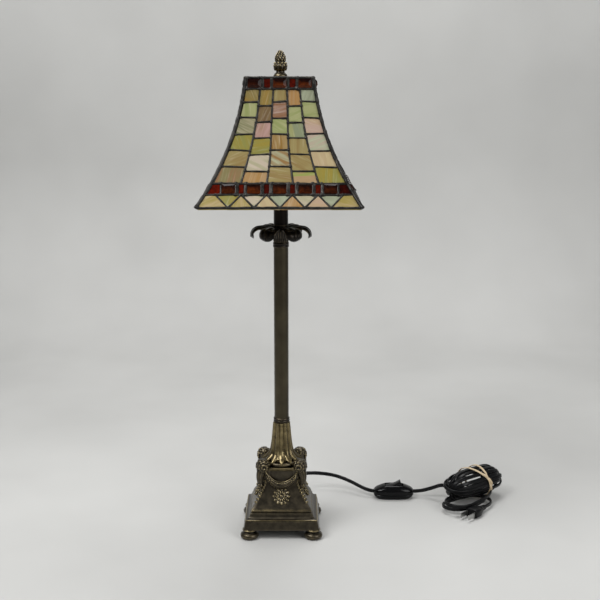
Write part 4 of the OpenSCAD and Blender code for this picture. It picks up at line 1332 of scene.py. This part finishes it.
add_lump(bm, head_point(34, 0, 94.5), (9.6, 8.8, 9.4), head_turn(20), 16)     # skull
add_lump(bm, head_point(38, 0, 96.5), (5, 5.6, 3.6), head_turn(40), 10)       # forehead
muzzle = smooth_line([head_point(35, 0, 92), head_point(39.5, 0, 84.5), head_point(41, 0, 77),
                      head_point(39.6, 0, 69.5)], 5)
add_rods(bm, [[(spot, 6.4 - 2.8 * eased(k / 15)) for k, spot in enumerate(muzzle)]], sides=12)
add_lump(bm, head_point(40.6, 0, 69), (3.8, 4.4, 3.6), head_turn(0), 10)      # nose
add_lump(bm, head_point(38, 0, 66.6), (2.6, 3.2, 2), head_turn(-20), 8)       # chin
for way in (-1, 1):
    add_lump(bm, head_point(40.4, 4.6 * way, 88.5), (1.7, 1.2, 1.5), head_turn(0), 8)   # eye
    add_lump(bm, head_point(40, 4.4 * way, 91.2), (2.8, 1.6, 1), head_turn(35), 8)      # brow
    add_lump(bm, head_point(43.6, 1.7 * way, 70.2), (0.9, 0.8, 0.9), head_turn(0), 6)   # nostril
    # The horn comes over the skull and curls flat on its own side of the base
    horn = []
    for k in range(72):
        gone = k / 71
        angle = math.radians(75) + gone * 1.7 * math.tau
        reach = 6.3 - 4.6 * gone ** 0.9
        curl = Vector((23.2 - reach * math.cos(angle), -29.5 - 4.2 * gone ** 0.7,
                       94 + reach * math.sin(angle)))
        if way > 0:
            curl = Vector((-curl.y, -curl.x, curl.z))
        ridge = 1 + 0.1 * math.sin(gone * math.tau * 17)
        horn.append((curl, (2.5 - 1.5 * gone) * ridge))
    add_rods(bm, [horn], sides=12)
chance = random.Random(5)
for k in range(60):
    way = Vector((chance.uniform(-1, 0.6), chance.uniform(-1, 1), chance.uniform(0.1, 1))).normalized()
    add_lump(bm, head_point(34 + 9 * way.x, 8.4 * way.y, 94.5 + 8.9 * way.z), (1.3, 1.3, 1.1),
             rings=5)                                                          # wool
melted(bm, 0.5, 1)
casting("rams_heads", bm, "ram_heads")

# %% [markdown]
# ## Garlands, rosettes and husks
#
# Between the heads hangs a garland of leaves under a cord, with a rosette under it, and strings of
# husks run down the corners. The garland is a rod that swells towards its middle, set with small
# leaf lumps on both sides. The rosette is two rings of petals round a boss, leaned back on the sweep.
# Every piece is made once for the front and copied round.

# %% Garlands
bm = bmesh.new()
chance = random.Random(8)
hang = []
cord_line = []
for k in range(41):
    s = k / 20 - 1
    y = -26.2 - 1.4 * (1 - s * s)
    cord_line.append(((21.5 * s, y + 1.2, 71.5 + 14 * s * s), 1.0))
    hang.append(((20 * s, y, 67.2 + 13.5 * abs(s) ** 2.1), 1.4 + 2.3 * (1 - s * s)))
add_rods(bm, [hang, cord_line], sides=12)
for k in range(15):
    s = (k - 7) / 7.6
    middle = Vector(hang[round(20 + s * 20)][0])
    size = 1.1 + 1.3 * (1 - s * s)
    lean = rotation(-52 * s + chance.uniform(-8, 8), "Y")
    for way in (-1, 0, 1):
        spot = middle + Vector((0.4 * way, -1.6 - 0.7 * (way == 0), 1.9 * way * size / 2))
        add_lump(bm, spot, (size * 1.05, 0.9, size * 0.62), lean @ rotation(38 * way, "Y"), 7)
melted(bm, 0.45, 1)
casting("garlands_cast", bm, "garlands")

# %% Rosettes and husks
bm = bmesh.new()
ROSETTE_UP = 53.5
for reach, long, wide, lift, start in ((8.1, 3.6, 2.1, 0.6, 0), (4.6, 2.5, 1.4, 1.9, 15)):
    for k in range(12):
        angle = math.radians(start + 30 * k)
        spot = (reach * math.cos(angle), reach * math.sin(angle), lift)
        lean = Matrix.Rotation(angle, 4, "Z") @ rotation(-12, "Y")
        add_lump(bm, spot, (long, wide, 1.0), lean, 8)
        add_lump(bm, Vector(spot) + Vector((0, 0, 0.75)), (long * 0.8, 0.35, 0.5), lean, 5)
add_lump(bm, (0, 0, 0), (9.4, 9.4, 1.0), rings=14)
add_lump(bm, (0, 0, 2.2), (2.5, 2.5, 1.6), rings=10)
melted(bm, 0.38, 1)
rotated(bm, 61, "X")
moved(bm, (0, -flare_at(ROSETTE_UP) - 0.4, ROSETTE_UP))
casting("rosettes_cast", bm, "rosettes")

bm = bmesh.new()
for k in range(8):
    z = 72 - 3.6 * k
    half = flare_at(z)
    size = 2.0 - 0.12 * k
    for way in (-1, 0, 1):
        place = Vector((half - 0.2, -half + 0.2, z)) + Vector((way, way, 0)) * 0.9 * size
        add_lump(bm, place, (0.8 * size, 0.8 * size, 1.5 * size), rotation(16 * way, (1, -1, 0)), 7)
melted(bm, 0.4, 1)
casting("husk_strings", bm, "husk_drops")

# %% [markdown]
# ## Fluted cup and collars
#
# The column grows out of a cup of twelve leaves, like a lily turned upside down: pointed tips flare
# over the saucer and each leaf runs up the column as a broad flute. One leaf is a grid laid on the
# trumpet's outline and curved across, so that the gap to the next leaf is a deep dark line. It is
# thickened and copied round twelve times, with a turned core behind. The saucer and the collars are
# plain lathe work.

# %% Saucer, cup and collars
spun_piece("saucer_turned", [(0, 0), (20.5, 0), (24, 1.6), (25, 3.4), (24.2, 5.2), (22, 6), (0, 6)],
           antique_bronze, "saucer", SAUCER_LOW)
CUP = [(0, 25.2), (2.2, 23.4), (5, 20), (9, 16.4), (14, 14.4), (22, 13.0), (31, 12), (40, 11.2),
       (51, 10.2)]
cup_heights, cup_reach = zip(*CUP)
bm = bmesh.new()
turned(bm, [(0, 0.5), (19, 0.5)] + [(float(np.interp(h, cup_heights, cup_reach)) - 1.3, h)
                                    for h in range(4, 51, 2)] + [(8.4, 51), (0, 51)], CUP_LOW, 72)
grid = bmesh.ops.create_grid(bm, x_segments=10, y_segments=44, size=0.5)["verts"]
for vert in grid:
    across, up = 2 * vert.co.x, vert.co.y + 0.5
    point = 1 - min(1, up / 0.16)
    narrow = math.sqrt(max(0.02, 1 - point ** 1.8))
    height = 51 * up + 1.6 * across * across * (1 - up) ** 6
    reach = float(np.interp(height, cup_heights, cup_reach)) + 1.5 * (1 - across * across) - 0.5
    reach += 0.3 * math.exp(-(across / 0.2) ** 2) * (1 - 0.6 * up)
    angle = math.radians(14.2 * across * narrow)
    vert.co = (reach * math.sin(angle), -reach * math.cos(angle), CUP_LOW + height)
leaf = faces_at(grid)
solid = bmesh.ops.solidify(bm, geom=leaf, thickness=1.1)["geom"]
strip = set(solid) | set(leaf) | {v for f in leaf for v in f.verts}
strip |= {edge for vert in only(BMVert, strip) for edge in vert.link_edges}
bmesh.ops.spin(bm, geom=list(strip), cent=(0, 0, 0), axis=(0, 0, 1), steps=11,
               angle=math.tau * 11 / 12, use_duplicate=True)
finish_piece("fluted_cup", bm, highlit_rubbed_bronze, stands_for=["flute_cup"], rubbing_and_shade=1)
spun_piece("collar_low", [(0, 0), (9.8, 0), (10.8, 1.2), (10.8, 3), (10.2, 3.6), (10.8, 4.4),
                          (10.8, 6), (10, 7), (0, 7)], dark_bronze, "lower_collar",
           COLLAR_LOW)
spun_piece("collar_high", [(0, 0), (10, 0), (10.4, 1), (10.4, 2.8), (9.9, 3.5), (10.4, 4.2),
                           (10.4, 6), (9.8, 7), (0, 7)], dark_bronze, "upper_collar",
           UPPER_COLLAR_LOW)

# %% [markdown]
# ## Capital
#
# A ribbed cup holds six drooping leaves. A leaf is hammered sheet: flat on top, then rolled over and
# hanging down, with five ribs along it and a rounded tip. The grid follows that roll, the ribs are
# raised across it, its edge is drawn in to the leaf's outline, and it is thickened and copied round.

# %% Capital cup and leaves
bm = bmesh.new()
turned(bm, fine_outline(
    [(0, 0), (9.6, 0), (9.9, 5), (11.6, 9), (13.2, 13.8), (13.2, 16), (9.6, 17.2), (9.6, 23),
     (0, 23)], 0.9, 0.3), CAPITAL_LOW, 144)
for vert in bm.verts:
    reach = Vector(vert.co.xy).length
    if reach > 9 and CAPITAL_LOW + 1 < vert.co.z < CAPITAL_LOW + 15:
        rib = 0.32 * math.cos(24 * math.atan2(vert.co.y, vert.co.x))
        vert.co.xy *= (reach + rib) / reach
finish_piece("capital_ribbed", bm, dark_bronze, stands_for=["capital_cup"], rubbing_and_shade=1)

bm = bmesh.new()
grid = bmesh.ops.create_grid(bm, x_segments=30, y_segments=34, size=0.5)["verts"]
roll = smooth_line([(10, 0, 411), (17, 0, 412.6), (25, 0, 413), (32, 0, 412), (37, 0, 408.6),
                    (39.4, 0, 404), (39.6, 0, 400)], 6)
for vert in grid:
    across, along = 2 * vert.co.x, vert.co.y + 0.5
    place = along * (len(roll) - 1)
    k = min(int(place), len(roll) - 2)
    middle = roll[k].lerp(roll[k + 1], place - k)
    wide = 5 + 5.6 * math.sin(math.pi * min(along / 0.96, 1)) ** 0.7 + 2.6 * along
    wide *= math.sqrt(max(0, 1 - max(0, (along - 0.72) / 0.28) ** 2.4)) * 0.94 + 0.06
    rib = 0.55 * math.cos(across * math.pi * 3) * (1 - 0.5 * along) * min(1, along * 6)
    sag = (1.6 + 6 * along * along) * across * across
    outward = Vector((middle.x, 0, 0)).normalized() * along + UP * (1 - along)
    vert.co = middle + outward.normalized() * (rib - sag * 0.55) - UP * sag * 0.35
    vert.co.y += across * wide
bmesh.ops.solidify(bm, geom=bm.faces[:], thickness=1.3)
copied_round(bm, 6)
finish_piece("drooping_leaves", bm, dark_bronze, stands_for=["leaf_crown"], rubbing_and_shade=1,
             sharp=60)

# %% [markdown]
# ## Finial
#
# The finial is a bud on a bulb: a cast and threaded knob that clamps the shade's spider. The turned
# outline gives it its body. Scales are laid over the two bulbs in rows, each a leaf-shaped lump that
# stands out at its tip, and every other row is turned by half a scale.

# %% Finial
bm = bmesh.new()
turned(bm, [(0, 0), (8.0, 0), (8.7, 0.6), (8.7, 3.2), (7.6, 5), (5.6, 6.8), (5.3, 8.4), (7.4, 10.6),
            (8.6, 13), (8.4, 15.8), (6.6, 19), (6.0, 20.6), (6.8, 23), (6.4, 26), (4.9, 29.4),
            (3, 32.4), (1.2, 34.2), (0, 34.6)], FINIAL_LOW, 48)
for rows in (((11.2, 7.4, 10, 1.7, 2.5), (14.2, 8.2, 10, 1.6, 2.5), (17.4, 7.3, 10, 1.4, 2.3)),
             ((21.6, 6.1, 10, 1.3, 1.8), (23.8, 6.5, 10, 1.3, 1.8), (26.2, 5.9, 9, 1.2, 1.8),
              (28.6, 4.9, 8, 1.1, 1.7), (30.8, 3.6, 7, 0.9, 1.5), (32.6, 2.3, 5, 0.7, 1.3))):
    for row, (height, reach, count, wide, tall) in enumerate(rows):
        for k in range(count):
            angle = math.tau * (k + 0.5 * (row % 2)) / count
            lean = Matrix.Rotation(angle, 4, "Z") @ rotation(16, "Y")
            spot = Vector((math.cos(angle), math.sin(angle), 0)) * reach + UP * (FINIAL_LOW + height)
            add_lump(bm, spot, (0.95, wide, tall), lean, 7)
melted(bm, 0.36, 1)
casting("finial_bud", bm, "finial", copies=1, body="finial")

# %% [markdown]
# ## Table, backdrop and light
#
# The lamp stands on a pale sweep: a table top that curves up into a wall. Three large soft lights and a
# pale surround give broad, quiet reflections on the metal and keep the shadows soft.

# %% Stage
WALL_AT = 900        # where the table starts to curve up
WALL_BEND = 400
WALL_TALL = 2600
bm = bmesh.new()
bmesh.ops.create_grid(bm, x_segments=1, y_segments=1, size=2500)
far_edge = [e for e in bm.edges if all(v.co.y > 0 for v in e.verts)]
for v in bm.verts:
    if v.co.y > 0:
        v.co.y = WALL_AT
for k in range(12):
    grown = bmesh.ops.extrude_edge_only(bm, edges=far_edge)["geom"]
    far_edge = only(BMEdge, grown)
    angle = math.radians(7.5 * (k + 1))
    for v in only(BMVert, grown):
        v.co.y = WALL_AT + WALL_BEND * math.sin(angle)
        v.co.z = WALL_BEND * (1 - math.cos(angle))
grown = bmesh.ops.extrude_edge_only(bm, edges=far_edge)["geom"]
bmesh.ops.translate(bm, vec=(0, 0, WALL_TALL), verts=only(BMVert, grown))
bmesh.ops.scale(bm, vec=(MM, MM, MM), verts=bm.verts)
sweep = as_object("sweep", bm)
mesh = sweep.data
bm.free()
mesh.polygons.foreach_set("use_smooth", [True] * len(mesh.polygons))
paper = new_material("pale paper sweep")
paper_place = add(paper, "TexCoord").outputs["Object"]
paper_cloud = add(paper, "TexNoise", {"Vector": paper_place, "Scale": 3, "Detail": 3}).outputs[0]
paper_tone = add(paper, "ValToRGB", {"Fac": paper_cloud},
                 stops=((0.3, "#b4b4b2"), (0.7, "#bfbfbd"))).outputs[0]
add(paper, "BsdfPrincipled", {"Base Color": paper_tone, "Roughness": 0.75})
mesh.materials.append(paper)


def soft_light(name, place, aim, size, power):
    """A square soft light that looks from its place to its aim, in millimetres and watts."""
    light = bpy.data.objects.new(name, bpy.data.lights.new(name, "AREA"))
    light.data.size = size * MM
    light.data.energy = power
    light.location = Vector(place) * MM
    way = Vector(aim) - Vector(place)
    light.rotation_euler = way.to_track_quat("-Z", "Y").to_euler()
    bpy.context.collection.objects.link(light)


soft_light("key light", (-900, -700, 1700), (0, 0, 300), 900, 30)
soft_light("fill light", (1300, -1100, 1100), (0, 0, 250), 1200, 17)
soft_light("back light", (200, 700, 2000), (0, 200, 0), 1000, 17)

world = bpy.data.worlds.new("surround")
world.use_nodes = True
world.node_tree.nodes["Background"].inputs["Color"].default_value = colour("#d8d8d6")
world.node_tree.nodes["Background"].inputs["Strength"].default_value = 0.3
bpy.context.scene.world = world
bpy.context.scene.view_settings.view_transform = "Standard"
